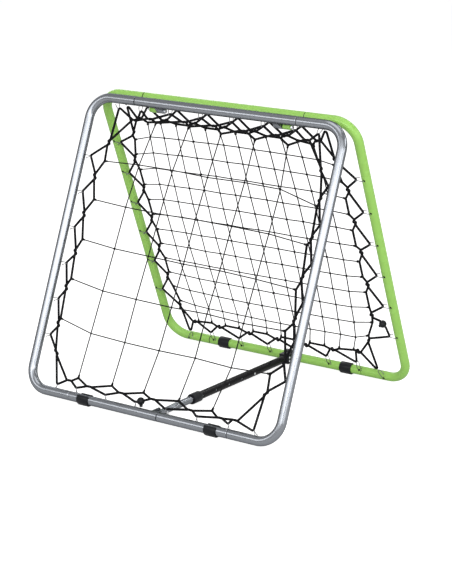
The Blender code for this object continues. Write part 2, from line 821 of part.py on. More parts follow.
def lacing_path(frame):
    """The lacing from the cord lock, once round all the hooks and back to the lock."""
    low = NET_LEVEL - LACING_RADIUS - BORDER_RADIUS - CORD_GAP
    stations = lacing_stations(frame)
    first = frame.lock_station
    turn = stations[first:] + stations[:first]
    centre, direction = lock_place(frame)
    level = (NET_LEVEL + low) / 2
    stop = LOCK_BORE_RADIUS + GAP
    clear = LOCK_RADIUS + 2 * GAP
    leaving = [on_frame(frame, centre + direction * reach, level) for reach in (stop, clear)]
    arriving = [on_frame(frame, centre - direction * reach, level) for reach in (clear, stop)]

    def tip_points(index):
        tip, sharp, _ = turn[index]
        if not sharp:
            return [on_frame(frame, tip, NET_LEVEL)]
        before = turn[index - 1][2][1]
        after = turn[index][2][0]
        ease = (after - before).normalized() * LACING_RADIUS
        return [on_frame(frame, tip + ease * step, NET_LEVEL) for step in (-1, 1)]

    path = list(leaving)
    for index in range(len(turn)):
        if index:
            path += tip_points(index)
        path += [on_frame(frame, point, low) for point in turn[index][2]]
    return path + tip_points(0) + arriving


def hook_wires(frame, parent):
    """Bent wires from the holes in the tubes to the lacing."""
    wires = []
    for side in sides(frame):
        for hook in side.hooks:
            wires.append([
                hook_hole(frame, side, hook, TUBE_RADIUS - HOOK_DEPTH),
                hook_hole(frame, side, hook, TUBE_RADIUS + HOOK_RISE),
                on_frame(frame, side.tip(hook), NET_LEVEL),
            ])
    return as_cutter(rod(f"{frame.name}_hook_wires", wires, HOOK_WIRE_RADIUS, 4), parent)


def lacing(frame, parent):
    cord = rod(f"{frame.name}_lacing_cord", [lacing_path(frame)], LACING_RADIUS, CORD_SIDES)
    combine(cord, hook_wires(frame, parent), "UNION")
    return finish(cord, cord_fabric, parent)


def cord_lock(frame, parent):
    """A ball with a sprung plunger that pinches the two ends of the lacing."""
    flat, direction = lock_place(frame)
    low = NET_LEVEL - LACING_RADIUS - BORDER_RADIUS - CORD_GAP
    centre = on_frame(frame, flat, (NET_LEVEL + low) / 2)
    cord_way = Vector((direction.x, direction.y, 0))
    press = Vector((direction.y, -direction.x, 0)) * -frame.facing
    turn = Matrix((cord_way, press, cord_way.cross(press))).transposed().to_euler()

    bpy.ops.mesh.primitive_uv_sphere_add(segments=12, ring_count=7, radius=LOCK_RADIUS)
    body = bpy.context.active_object
    body.name = f"{frame.name}_cord_lock_body"
    for collection in list(body.users_collection):
        collection.objects.unlink(body)
    PARTS.objects.link(body)
    along_y = Matrix.Rotation(math.pi / 2, 4, "Z")
    well = cylinder(
        body.name + "_well",
        over_flats(LOCK_BORE_RADIUS, 10), -LOCK_BORE_DEPTH, LOCK_RADIUS + PLUNGER_NUB, 10,
    )
    well.data.transform(along_y)
    cord_hole = cylinder(
        body.name + "_cord_hole",
        over_flats(LOCK_CORD_HOLE_RADIUS, 8), -LOCK_RADIUS * 1.2, LOCK_RADIUS * 1.2, 8,
    )
    combine(body, as_cutter(well, parent, centre, turn), "DIFFERENCE")
    combine(body, as_cutter(cord_hole, parent, centre, turn), "DIFFERENCE")
    finish(body, black_plastic, parent, centre, turn)

    plunger = cylinder(
        f"{frame.name}_cord_lock_plunger", LOCK_BORE_RADIUS - GAP, -PLUNGER_FOOT, LOCK_RADIUS + PLUNGER_NUB, 10
    )
    plunger.data.transform(along_y)
    reach = LOCK_BORE_RADIUS * 2
    eye = cylinder(plunger.name + "_eye", LACING_RADIUS, -reach, reach, 8)
    eye.data.transform(Matrix.Translation((0, LACING_RADIUS + PLUNGER_TRAVEL, 0)))
    combine(plunger, as_cutter(eye, parent, centre, turn), "DIFFERENCE")
    finish(plunger, black_plastic, parent, centre, turn)

    outer = LOCK_BORE_RADIUS - 2 * GAP
    rings = [circle((0, 0), outer, 10), circle((0, 0), outer - LOCK_SPRING_WALL, 10)]
    length = LOCK_BORE_DEPTH - PLUNGER_FOOT - 2 * GAP
    spring = plate(f"{frame.name}_cord_lock_spring", rings, length)
    spring.data.transform(Matrix.Rotation(math.pi / 2, 4, "X"))
    spring.data.transform(Matrix.Translation((0, -(LOCK_BORE_DEPTH + PLUNGER_FOOT) / 2, 0)))
    finish(spring, bright_steel, parent, centre, turn)


def strut_bracket():
    """A U-shaped bracket on the back of the front bottom tube, open to the rear."""
    outline = ear_outline(STRUT_PIN_DISTANCE, BRACKET_END_RADIUS)
    hole = bore((0, 0), STRUT_BOLT_RADIUS + GAP, 8)
    bracket = plate("strut_bracket", [outline, hole], BRACKET_INNER_WIDTH + 2 * BRACKET_WALL)
    # Local Y points forward to the tube and local Z along the bolt.
    forward, bolt_way = Vector((0, -1, 0)), Vector((1, 0, 0))
    turn = Matrix((forward.cross(bolt_way), forward, bolt_way)).transposed().to_euler()
    room = STRUT_PIN_DISTANCE - TUBE_RADIUS - GAP - BRACKET_WALL
    bpy.ops.mesh.primitive_cube_add(size=1)
    slot = bpy.context.active_object
    slot.name = "strut_bracket_slot"
    for collection in list(slot.users_collection):
        collection.objects.unlink(slot)
    PARTS.objects.link(slot)
    height = BRACKET_END_RADIUS * 3
    slot.data.transform(Matrix.Diagonal((height, room + height, BRACKET_INNER_WIDTH, 1)))
    slot.data.transform(Matrix.Translation((0, (room - height) / 2, 0)))
    combine(bracket, as_cutter(slot, None, STRUT_PIN, turn), "DIFFERENCE")
    finish(bracket, silver_paint, None, STRUT_PIN, turn)


def strut_pin():
    """The bolt and nut that the strut turns on."""
    half = BRACKET_INNER_WIDTH / 2 + BRACKET_WALL + GAP
    grip = 2 * half + STRUT_NUT_HEIGHT
    along = (0, math.pi / 2, 0)
    pin = bolt(
        "strut_bolt", STRUT_BOLT_RADIUS, STRUT_HEAD_RADIUS, STRUT_HEAD_HEIGHT, grip, BOLT_TAIL
    )
    finish(pin, bright_steel, None, STRUT_PIN + Vector((half, 0, 0)), along)
    lock_nut = nut("strut_nut", STRUT_NUT_RADIUS, STRUT_BOLT_RADIUS + GAP, STRUT_NUT_HEIGHT)
    place = STRUT_PIN - Vector((half + STRUT_NUT_HEIGHT / 2, 0, 0))
    finish(lock_nut, bright_steel, None, place, along)


def button_place():
    """Distance of the snap button behind the strut's pin, in the rearmost hole."""
    return FIRST_HOLE + HOLE_PITCH * (HOLE_COUNT - 1)


def strut_inner_tube(pivot):
    """The inner tube, whose front end is flattened for the bracket."""
    end = button_place() + INNER_TUBE_TAIL
    flat_from, flat_to = -FLAT_END, FLAT_LENGTH
    tube = rod(
        "strut_inner_tube",
        [[Vector((0, y, 0)) for y in (flat_from, flat_to, flat_to + FLARE_LENGTH, end)]],
        INNER_TUBE_RADIUS, TUBE_SIDES, capped=False,
    )
    for vertex in tube.data.vertices:
        if vertex.co.y < flat_to + FLARE_LENGTH / 2:
            vertex.co.x *= FLAT_WIDTH / 2 / INNER_TUBE_RADIUS
            vertex.co.z *= FLAT_THICKNESS / 2 / INNER_TUBE_RADIUS
    shell = tube.modifiers.new("wall", "SOLIDIFY")
    shell.thickness = STRUT_WALL
    shell.offset = -1
    pin_bore = over_flats(STRUT_BOLT_RADIUS + GAP, 8)
    pin_hole = cylinder("strut_pin_hole", pin_bore, -FLAT_WIDTH, FLAT_WIDTH, 8)
    button_bore = over_flats(BUTTON_RADIUS + GAP, 8)
    button_hole = cylinder("strut_button_hole", button_bore, 0, 2 * INNER_TUBE_RADIUS, 8)
    combine(tube, as_cutter(pin_hole, pivot), "DIFFERENCE")
    combine(tube, as_cutter(button_hole, pivot, (0, button_place(), 0)), "DIFFERENCE")
    finish(tube, silver_paint, pivot)


def strut_outer_tube(slide):
    """The outer tube with its row of holes on the right."""
    start = COLLAR_START + COLLAR_LIP + GAP
    end = jaw_start() - GAP
    path = [Vector((0, start, 0)), Vector((0, end, 0))]
    tube = rod("strut_outer_tube", [path], OUTER_TUBE_RADIUS, TUBE_SIDES, capped=False)
    shell = tube.modifiers.new("wall", "SOLIDIFY")
    shell.thickness = STRUT_WALL
    shell.offset = -1
    places = [FIRST_HOLE + HOLE_PITCH * index for index in range(HOLE_COUNT)]
    drills = rod(
        "strut_hole_drills",
        [[Vector((0, y, 0)), Vector((2 * OUTER_TUBE_RADIUS, y, 0))] for y in places],
        STRUT_HOLE_RADIUS, 8,
    )
    combine(tube, as_cutter(drills, slide), "DIFFERENCE")
    finish(tube, black_plastic, slide)


def strut_collar(slide):
    """The cap on the front end of the outer tube, with a lip that guides the inner tube."""
    socket = over_flats(OUTER_TUBE_RADIUS + GAP, TUBE_SIDES)
    outer = socket + COLLAR_WALL
    lip_bore = over_flats(INNER_TUBE_RADIUS + GAP, TUBE_SIDES)
    profile = [
        (lip_bore, 0),
        (outer - COLLAR_LIP / 2, 0),
        (outer, -COLLAR_LIP / 2),
        (outer, -COLLAR_LENGTH),
        (socket, -COLLAR_LENGTH),
        (socket, -COLLAR_LIP),
        (lip_bore, -COLLAR_LIP),
    ]
    collar = turned("strut_collar", profile, TUBE_SIDES)
    finish(collar, black_plastic, slide, (0, COLLAR_START, 0), (math.pi / 2, 0, 0))


def snap_button(pivot):
    """A U-shaped spring leaf inside the inner tube, whose button stands out through both tubes."""
    bend = (0, -LEAF_BEND)
    outer = LEAF_REACH
    inner = LEAF_REACH - LEAF_THICKNESS
    outline = [(outer, LEAF_TAIL), *arc(bend, outer, 0, -math.pi, 6), (-outer, LEAF_TAIL)]
    outline += [(-inner, LEAF_TAIL), *arc(bend, inner, -math.pi, 0, 6), (inner, LEAF_TAIL)]
    leaf = plate("strut_snap_button", [outline], LEAF_WIDTH)
    head = cylinder("strut_button_head", BUTTON_RADIUS, inner, OUTER_TUBE_RADIUS + BUTTON_STANDOUT, 10)
    place = (0, button_place(), 0)
    combine(leaf, as_cutter(head, pivot, place), "UNION")
    finish(leaf, bright_steel, pivot, place)


def jaw_start():
    """Distance behind the strut's pin at which the snap hook's block begins."""
    return FOOT_SPACING - STRUT_PIN_DISTANCE - JAW_BLOCK_LENGTH


def strut_hook(slide):
    """A snap hook over the rear bottom tube, plugged into the outer tube."""
    centre = FOOT_SPACING - STRUT_PIN_DISTANCE
    inner = TUBE_RADIUS + JAW_CLEARANCE
    outer = inner + JAW_WALL
    front_angle = math.pi + math.asin(JAW_BLOCK_BOTTOM / inner)
    crest = math.pi - math.asin(JAW_BLOCK_TOP / outer)
    outline = arc((0, 0), outer, JAW_REAR_ANGLE, crest, 7)
    outline += [(-JAW_BLOCK_LENGTH, JAW_BLOCK_TOP), (-JAW_BLOCK_LENGTH, -JAW_BLOCK_BOTTOM)]
    outline += hollow_arc((0, 0), inner, front_angle, JAW_REAR_ANGLE, 10)
    hook = plate("strut_snap_hook", [outline], JAW_WIDTH)
    rearward, up = Vector((0, 1, 0)), Vector((0, 0, 1))
    turn = Matrix((rearward, up, rearward.cross(up))).transposed().to_euler()
    place = Vector((0, centre, 0))
    radius = (OUTER_TUBE_RADIUS - STRUT_WALL) * math.cos(math.pi / TUBE_SIDES) - GAP
    plug = cylinder(
        "strut_hook_plug", radius, -JAW_BLOCK_LENGTH - PLUG_LENGTH, -JAW_BLOCK_LENGTH + JAW_WALL, 12
    )
    combine(hook, as_cutter(plug, slide, place, turn), "UNION")
    for index, name in enumerate(("lower", "upper")):
        level = (index - 0.5) * JAW_SCREW_SPACING
        seat = Vector((JAW_WIDTH / 2, centre - JAW_SCREW_FRONT, level))
        hole = cylinder(
            f"strut_hook_screw_hole_{name}",
            over_flats(JAW_SCREW_RADIUS + GAP, 8), -JAW_SCREW_LENGTH - 2 * GAP, JAW_WALL, 8,
        )
        combine(hook, as_cutter(hole, slide, seat), "DIFFERENCE")
        screw = bolt(
            f"strut_hook_screw_{name}",
            JAW_SCREW_RADIUS, JAW_SCREW_HEAD_RADIUS, JAW_SCREW_HEAD_HEIGHT, JAW_SCREW_LENGTH, 0, 8,
        )
        finish(screw, bright_steel, slide, seat + Vector((GAP, 0, 0)), (0, math.pi / 2, 0))
    finish(hook, black_plastic, slide, place, turn)


def build_frame(frame, plane, body):
    """One frame with its net; body is the empty that carries pieces placed off the frame's plane."""
    frame_tubes(frame, plane)
    for sign in (-1, 1):
        hinge_ear(frame, sign, body)
        foot_clip(frame, sign, body)
    net_strands(frame, plane)
    border_rope(frame, plane)
    lacing(frame, plane)
    cord_lock(frame, plane)


def build():
    front_plane = empty("front_plane", world(FRONT, 0, 0, 0), None, math.pi / 2 - LEAN)
    hinge = empty("hinge_axis", HINGE_ORIGIN)
    rear_plane = empty("rear_plane", world(REAR, 0, 0, 0), hinge, math.pi / 2 + LEAN)
    build_frame(FRONT, front_plane, None)
    build_frame(REAR, rear_plane, hinge)
    for sign in (-1, 1):
        hinge_fasteners(sign)

    strut_bracket()
    strut_pin()
    pivot = empty("strut_pivot_axis", STRUT_PIN)
    slide = bpy.data.objects.new("strut_slide_axis", None)
    PARTS.objects.link(slide)
    slide.parent = pivot
    strut_inner_tube(pivot)
    snap_button(pivot)
    strut_outer_tube(slide)
    strut_collar(slide)
    strut_hook(slide)


build()
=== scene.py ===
"""A two-sided football target net on a pale studio floor."""

import math
import random
from dataclasses import dataclass

import bmesh
import bpy
from mathutils import Matrix, Vector


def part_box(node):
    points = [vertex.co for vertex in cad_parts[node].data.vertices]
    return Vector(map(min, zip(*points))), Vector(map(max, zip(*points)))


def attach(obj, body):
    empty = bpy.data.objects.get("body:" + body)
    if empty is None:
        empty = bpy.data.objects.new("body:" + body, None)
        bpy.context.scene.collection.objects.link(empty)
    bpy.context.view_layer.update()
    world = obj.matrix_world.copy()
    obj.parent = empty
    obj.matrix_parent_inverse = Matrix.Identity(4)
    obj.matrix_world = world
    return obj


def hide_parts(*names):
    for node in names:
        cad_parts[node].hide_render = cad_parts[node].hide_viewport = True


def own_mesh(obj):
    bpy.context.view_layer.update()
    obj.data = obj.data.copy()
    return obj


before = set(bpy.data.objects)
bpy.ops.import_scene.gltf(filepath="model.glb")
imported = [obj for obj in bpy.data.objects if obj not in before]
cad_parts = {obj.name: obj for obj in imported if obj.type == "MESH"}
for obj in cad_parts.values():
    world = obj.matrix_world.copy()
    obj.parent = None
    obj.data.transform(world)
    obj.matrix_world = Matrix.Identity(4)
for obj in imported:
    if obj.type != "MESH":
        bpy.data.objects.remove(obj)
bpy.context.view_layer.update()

# Studio
# A pale floor that runs out of view, in a pale room. Three soft strips in front give the bright
# bands in the silver uprights; a glow, a fill, a ceiling panel and strips behind light the rest.
CAMERA_PLACE = (2.9086, -4.0272, 1.6402)
CAMERA_AZIMUTH = 35.634
CAMERA_ELEVATION = 15.382
CAMERA_FOCUS_PIXELS = 1912.27
PHOTO_WIDTH_PIXELS = 452
SENSOR_WIDTH = 36.0
FARTHEST_SEEN = 200
FLOOR_HALF = 60
FLOOR_PAINT = (0.62, 0.62, 0.62, 1)
FLOOR_LIFT = 0.82
MIRRORED_LIFT = 0.22
ROOM_LIGHT = 0.26
ROOM_MIRRORED = 0.56
LIT_MIDDLE = Vector((0, 0, 0.4))


def linked(name, data):
    made = bpy.data.objects.new(name, data)
    bpy.context.scene.collection.objects.link(made)
    return made


def plain_mesh(name, points, faces=()):
    mesh = bpy.data.meshes.new(name)
    mesh.from_pydata(points, [], faces)
    return mesh


def from_front(azimuth, elevation):
    """Direction at so many degrees round from the front and up."""
    turn, rise = math.radians(azimuth), math.radians(elevation)
    return Vector((math.sin(turn) * math.cos(rise), -math.cos(turn) * math.cos(rise), math.sin(rise)))


def look(watcher, place, way):
    """Stands a camera or a light at a place and turns it along a way."""
    watcher.location = place
    watcher.rotation_euler = way.to_track_quat("-Z", "Y").to_euler()


def feed(node, inputs):
    """Gives a node's inputs their values, or links them to the outputs given for them."""
    for key, value in inputs.items():
        if isinstance(value, bpy.types.NodeSocket):
            node.id_data.links.new(value, node.inputs[key])
        else:
            node.inputs[key].default_value = value
    return node.outputs


def add_node(tree, kind, inputs=None, **settings):
    """Adds a node and gives its outputs."""
    node = tree.nodes.new(kind)
    for key, value in settings.items():
        setattr(node, key, value)
    return feed(node, inputs or {})


def reckon(tree, operation, *values):
    """Output of a Math node."""
    return add_node(tree, "ShaderNodeMath", dict(enumerate(values)), operation=operation)[0]


def ray_kinds(tree):
    """Whether the camera looks straight at a place, and whether it does by mirror or glass."""
    path = add_node(tree, "ShaderNodeLightPath")
    return path["Is Camera Ray"], reckon(tree, "MAXIMUM", path["Is Glossy Ray"], path["Is Transmission Ray"])


def studio_floor_material():
    """Diffuse grey that takes shadows, lifted to white for the camera and a little in mirrors."""
    made = bpy.data.materials.new("studio_floor")
    made.use_nodes = True
    tree = made.node_tree
    tree.nodes.clear()
    seen, mirrored = ray_kinds(tree)
    lift = reckon(tree, "MULTIPLY_ADD", seen, FLOOR_LIFT, reckon(tree, "MULTIPLY", mirrored, MIRRORED_LIFT))
    paint = add_node(tree, "ShaderNodeBsdfDiffuse", {"Color": FLOOR_PAINT})
    glow = add_node(tree, "ShaderNodeEmission", {"Strength": lift})
    both = add_node(tree, "ShaderNodeAddShader", {0: paint[0], 1: glow[0]})
    add_node(tree, "ShaderNodeOutputMaterial", {"Surface": both[0]})
    return made


camera_data = bpy.data.cameras.new("studio_camera")
camera_data.sensor_fit = "HORIZONTAL"
camera_data.sensor_width = SENSOR_WIDTH
camera_data.lens = CAMERA_FOCUS_PIXELS / PHOTO_WIDTH_PIXELS * SENSOR_WIDTH
camera_data.clip_end = FARTHEST_SEEN
camera = linked("studio_camera", camera_data)
look(camera, CAMERA_PLACE, -from_front(CAMERA_AZIMUTH, CAMERA_ELEVATION))
bpy.context.scene.camera = camera
bpy.context.scene.view_settings.view_transform = "Standard"

floor_corners = [(x * FLOOR_HALF, y * FLOOR_HALF, 0) for x, y in ((-1, -1), (1, -1), (1, 1), (-1, 1))]
floor = linked("studio_floor", plain_mesh("studio_floor", floor_corners, [(0, 1, 2, 3)]))
floor.data.materials.append(studio_floor_material())

room = bpy.data.worlds.new("studio_room")
room.use_nodes = True
seen, mirrored = ray_kinds(room.node_tree)
room_levels = {"Value": mirrored, "To Min": ROOM_LIGHT, "To Max": ROOM_MIRRORED}
room_light = add_node(room.node_tree, "ShaderNodeMapRange", room_levels)[0]
room_strength = reckon(room.node_tree, "MAXIMUM", room_light, seen)
feed(room.node_tree.nodes["Background"], {"Color": (1, 1, 1, 1), "Strength": room_strength})
bpy.context.scene.world = room

for name, azimuth, elevation, distance, width, height, power in (
    ("left_glow", -38, 22, 4.0, 1.0, 1.3, 10),
    ("left_strip", -4, 23, 4.0, 3.4, 1.15, 41),
    ("front_strip", 38, 21, 4.0, 3.4, 1.15, 41),
    ("right_strip", 78, 10, 4.0, 3.2, 1.3, 42),
    ("front_fill", 30, 30, 5.0, 6.0, 4.0, 62),
    ("left_rear_strip", -125, 25, 4.5, 3.0, 1.0, 30),
    ("right_rear_strip", 125, 25, 4.5, 3.0, 1.0, 30),
    ("rear_high_strip", 170, 40, 4.5, 1.6, 0.4, 14),
    ("ceiling_panel", 0, 88, 5.0, 4.0, 4.0, 72),
):
    light = bpy.data.lights.new(name, "AREA")
    light.shape = "RECTANGLE"
    light.size = width
    light.size_y = height
    light.energy = power
    way = from_front(azimuth, elevation)
    look(linked(name, light), LIT_MIDDLE + way * distance, -way)


# Wire hooks, with the holes that carry them
# Bent zinc-plated wire, 28 to a frame. One end sits in a hole drilled in the tube, the wire runs
# round the elastic and its free end comes back short of the tube.
ALONG, REARWARD, RISING = Vector((1, 0, 0)), Vector((0, 1, 0)), Vector((0, 0, 1))


@dataclass(frozen=True)
class Plane:
    """The plane of one frame's tube axes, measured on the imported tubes."""

    name: str
    facing: int
    origin: Vector
    up: Vector
    inward: Vector
    side: float

    @property
    def body(self):
        return self.name + "_frame"

    def place(self, flat, level=0.0):
        return self.origin + ALONG * flat[0] + self.up * flat[1] + self.inward * level


def middle_of(node):
    low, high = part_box(node)
    return (low + high) / 2


def plane_of(name, facing):
    low, high = middle_of(f"{name}_bottom_tube_left"), middle_of(f"{name}_top_tube")
    rise = Vector((0, high.y - low.y, high.z - low.z))
    up = rise.normalized()
    return Plane(name, facing, Vector((0, low.y, low.z)), up, ALONG.cross(up) * facing, rise.length)


PLANES = (plane_of("front", -1), plane_of("rear", 1))

TUBE_RADIUS = 0.0127
HALF_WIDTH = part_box("front_side_tube_right")[1].x - TUBE_RADIUS
HOOK_PITCH = 0.100
HOOKS_PER_STRAIGHT = 6
CORNER_HOOK_X = 0.335
CORNER_TIP_INSET = 0.021
CORNER_TIP_SHIFT = 0.012
HOOK_WIRE = 0.0010
HOOK_TURN = 0.0016
HOOK_SIDES = 8
HOOK_STEM = (TUBE_RADIUS - 0.004, TUBE_RADIUS + 0.0026)
HOOK_BEND = (
    (-0.0130, 0.0002, 0.0156), (-0.0020, -0.0005, 0.0157), (0.0033, -0.0018, 0.0148),
    (0.0036, -0.0034, 0.0097), (-0.0010, -0.0048, 0.0082),
)
HOOK_TAIL = ((0.0128, -0.0080, 0.0100), (0.0103, -0.0098, 0.0132))


@dataclass(frozen=True)
class Edge:
    """Route of the cords along one side, as places of progress along it and inset from its tube."""

    hook_shift: float
    tip_inset: float
    bound: tuple
    corner_inset: float
    corner_rise: float
    ties: tuple
    hole_inset: float = 0


def even_ties(pitch, shift, first, inset, last, count=12):
    """Strand ends at an even pitch, whose outermost insets follow the corners."""
    insets = [first, *[inset] * (count - 2), last]
    return tuple((shift + (index - (count - 1) / 2) * pitch, insets[index]) for index in range(count))


FRONT_EDGES = (
    Edge(
        hook_shift=0.006, tip_inset=0.024, corner_inset=0.058, corner_rise=0.106,
        bound=((-0.188, 0.054), (-0.082, 0.046), (0.024, 0.046), (0.123, 0.042), (0.225, 0.043)),
        ties=((-0.234, 0.076), (-0.126, 0.069), (-0.014, 0.060), (0.097, 0.052), (0.208, 0.047)),
    ),
    Edge(
        hook_shift=-0.006, tip_inset=0.024, corner_inset=0.072, corner_rise=0.119,
        bound=(
            (-0.285, 0.039), (-0.215, 0.035), (-0.106, 0.038), (-0.001, 0.041), (0.121, 0.036),
            (0.216, 0.034), (0.262, 0.037),
        ),
        ties=((-0.256, 0.051), (-0.141, 0.051), (-0.035, 0.052), (0.080, 0.052), (0.188, 0.047)),
    ),
    Edge(
        hook_shift=0.004, tip_inset=0.023, corner_inset=0.055, corner_rise=0.113,
        bound=((-0.199, 0.038), (-0.091, 0.036), (0.016, 0.041), (0.118, 0.039), (0.218, 0.039)),
        ties=((-0.236, 0.072), (-0.123, 0.056), (-0.016, 0.051), (0.100, 0.048), (0.200, 0.043)),
    ),
    Edge(
        hook_shift=-0.002, tip_inset=0.021, corner_inset=0.076, corner_rise=0.120,
        bound=(
            (-0.292, 0.043), (-0.194, 0.041), (-0.093, 0.041), (0.004, 0.038), (0.100, 0.038),
            (0.213, 0.042), (0.261, 0.050),
        ),
        ties=((-0.239, 0.062), (-0.136, 0.059), (-0.027, 0.056), (0.080, 0.048), (0.189, 0.050)),
    ),
)
REAR_EDGES = (
    Edge(
        hook_shift=-0.008, tip_inset=0.023, corner_inset=0.073, corner_rise=0.115,
        bound=((-0.209, 0.059), (-0.110, 0.060), (-0.009, 0.058), (0.091, 0.055), (0.189, 0.057)),
        ties=even_ties(0.0497, 0, 0.079, 0.066, 0.078),
    ),
    Edge(
        hook_shift=0.005, tip_inset=0.037, corner_inset=0.095, corner_rise=0.126, hole_inset=0.0085,
        bound=(
            (-0.294, 0.067), (-0.207, 0.065), (-0.102, 0.064), (-0.004, 0.063), (0.093, 0.063),
            (0.182, 0.067), (0.269, 0.079),
        ),
        ties=even_ties(0.0484, -0.0125, 0.070, 0.074, 0.080),
    ),
    Edge(
        hook_shift=-0.006, tip_inset=0.0225, corner_inset=0.075, corner_rise=0.112,
        bound=((-0.193, 0.067), (-0.091, 0.059), (0.013, 0.057), (0.109, 0.057), (0.208, 0.056)),
        ties=even_ties(0.0497, 0.006, 0.092, 0.069, 0.080),
    ),
    Edge(
        hook_shift=0, tip_inset=0.022, corner_inset=0.079, corner_rise=0.117,
        bound=(
            (-0.292, 0.060), (-0.192, 0.058), (-0.090, 0.058), (0.009, 0.058), (0.107, 0.058),
            (0.205, 0.060), (0.291, 0.064),
        ),
        ties=even_ties(0.0490, -0.004, 0.074, 0.067, 0.074),
    ),
)
EDGES = {"front": FRONT_EDGES, "rear": REAR_EDGES}


@dataclass(frozen=True)
class Side:
    """One side of the lacing, walked anticlockwise as seen from the front."""

    origin: Vector
    travel: Vector
    inside: Vector
    hooks: tuple
    edge: Edge

    def point(self, progress, inset):
        return self.origin + self.travel * progress + self.inside * inset

    def hole_turn(self, hook):
        """How far a hook's hole is turned from the inward wall to the net."""
        inset = 0 if abs(hook) == CORNER_HOOK_X else self.edge.hole_inset
        return math.asin(inset / TUBE_RADIUS)

    def tip(self, hook):
        if abs(hook) == CORNER_HOOK_X:
            return self.point(hook - math.copysign(CORNER_TIP_SHIFT, hook), CORNER_TIP_INSET)
        return self.point(hook, self.edge.tip_inset)


def sides(plane):
    """The left side, the bottom, the right side and the top."""
    middle = plane.side / 2
    left, down = Vector((-1, 0)), Vector((0, -1))
    straight = [(index - (HOOKS_PER_STRAIGHT - 1) / 2) * HOOK_PITCH for index in range(HOOKS_PER_STRAIGHT)]
    layout = (
        ((-HALF_WIDTH, middle), down, -left), ((0, 0), -left, -down),
        ((HALF_WIDTH, middle), -down, left), ((0, plane.side), left, down),
    )
    made = []
    for edge, (origin, travel, inside) in zip(EDGES[plane.name], layout):
        hooks = [hook + edge.hook_shift for hook in straight]
        if travel.x:
            hooks = [-CORNER_HOOK_X, *hooks, CORNER_HOOK_X]
        made.append(Side(Vector(origin), travel, inside, tuple(hooks), edge))
    return made


def in_hole(plane, side, hook, depth):
    """A place in a hook's hole at a depth from the tube's axis."""
    turn = side.hole_turn(hook)
    return plane.place(side.point(hook, depth * math.sin(turn)), depth * math.cos(turn))


def new_tree(name, result, inputs):
    """A node tree with its named inputs and result, and the outputs that give the inputs."""
    tree = bpy.data.node_groups.new(name, "GeometryNodeTree")
    for label, kind in inputs.items():
        tree.interface.new_socket(label, in_out="INPUT", socket_type="NodeSocket" + kind)
    tree.interface.new_socket(result, in_out="OUTPUT", socket_type="NodeSocketGeometry")
    return tree, add_node(tree, "NodeGroupInput")


def end_tree(tree, geometry, finish, selection=True):
    real = add_node(tree, "GeometryNodeRealizeInstances", {0: geometry})
    coating = {"Geometry": real[0], "Selection": selection, "Material": finish}
    add_node(tree, "NodeGroupOutput", {0: add_node(tree, "GeometryNodeSetMaterial", coating)[0]})
    return tree


def bar_along_path_tree():
    """Node tree that sweeps a round section along a path with rounded turns.

    The mesh keeps the distance along the path and the place on the section as attributes.
    """
    tree, given = new_tree("bar_along_path", "Bar", {
        "Path": "Geometry", "Radius": "Float", "Sides": "Int", "Turn Radius": "Float",
        "Turn Steps": "Int", "Closed Ends": "Bool", "Finish": "Material",
    })
    turned = add_node(tree, "GeometryNodeFilletCurve", {
        "Curve": given["Path"], "Radius": given["Turn Radius"], "Count": given["Turn Steps"],
        "Limit Radius": True,
    }, mode="POLY")
    length = add_node(tree, "GeometryNodeSplineParameter")["Length"]
    measured = add_node(tree, "GeometryNodeStoreNamedAttribute", {
        "Geometry": turned[0], "Name": "along", "Value": length,
    })
    section = add_node(tree, "GeometryNodeCurvePrimitiveCircle", {
        "Resolution": given["Sides"], "Radius": given["Radius"],
    })
    placed = add_node(tree, "GeometryNodeStoreNamedAttribute", {
        "Geometry": section[0], "Name": "section", "Value": add_node(tree, "GeometryNodeInputPosition")[0],
    }, data_type="FLOAT_VECTOR")
    sweep = add_node(tree, "GeometryNodeCurveToMesh", {
        "Curve": measured[0], "Profile Curve": placed[0], "Fill Caps": given["Closed Ends"],
        "Scale": add_node(tree, "GeometryNodeInputRadius")[0],
    })
    smooth = add_node(tree, "GeometryNodeSetShadeSmooth", {"Geometry": sweep[0]})
    return end_tree(tree, smooth[0], given["Finish"])


BAR_TREE = bar_along_path_tree()


def add_tree(piece, tree, **values):
    """Puts a node tree on a piece and sets its inputs by the sockets' identifiers."""
    modifier = piece.modifiers.new(tree.name, "NODES")
    modifier.node_group = tree
    for item in tree.interface.items_tree:
        key = item.name.replace(" ", "_").lower()
        if item.in_out == "INPUT" and key in values:
            modifier[item.identifier] = values[key]


def baked(source, name):
    """The plain mesh object of what a source's modifiers make; the source goes."""
    graph = bpy.context.evaluated_depsgraph_get()
    mesh = bpy.data.meshes.new_from_object(source.evaluated_get(graph))
    bpy.data.objects.remove(source)
    mesh.name = name
    return linked(name, mesh)


def bar(name, paths, radius, sides, finish, turn=0.0, steps=1, closed_path=False, ends=True, swells=None):
    """Round stock along one or more paths; swells scale the radius point by point."""
    curve = bpy.data.curves.new(name + "_path", "CURVE")
    curve.dimensions = "3D"
    for path in paths:
        spline = curve.splines.new("POLY")
        spline.points.add(len(path) - 1)
        spline.use_cyclic_u = closed_path
        for index, point in enumerate(path):
            spline.points[index].co = (*point, 1)
            spline.points[index].radius = swells[index] if swells else 1
    source = linked(name + "_path", curve)
    add_tree(
        source, BAR_TREE, radius=radius, sides=sides, turn_radius=turn, turn_steps=steps,
        closed_ends=ends, finish=finish,
    )
    return baked(source, name)


def finished(piece, slot, body, *nodes):
    """Rides a piece on its body and lets it stand for its CAD nodes; its slot is not used."""
    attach(piece, body)
    if nodes:
        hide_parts(*nodes)


def material_with_shader(name):
    made = bpy.data.materials.new(name)
    made.use_nodes = True
    return made, made.node_tree, made.node_tree.nodes["Principled BSDF"]


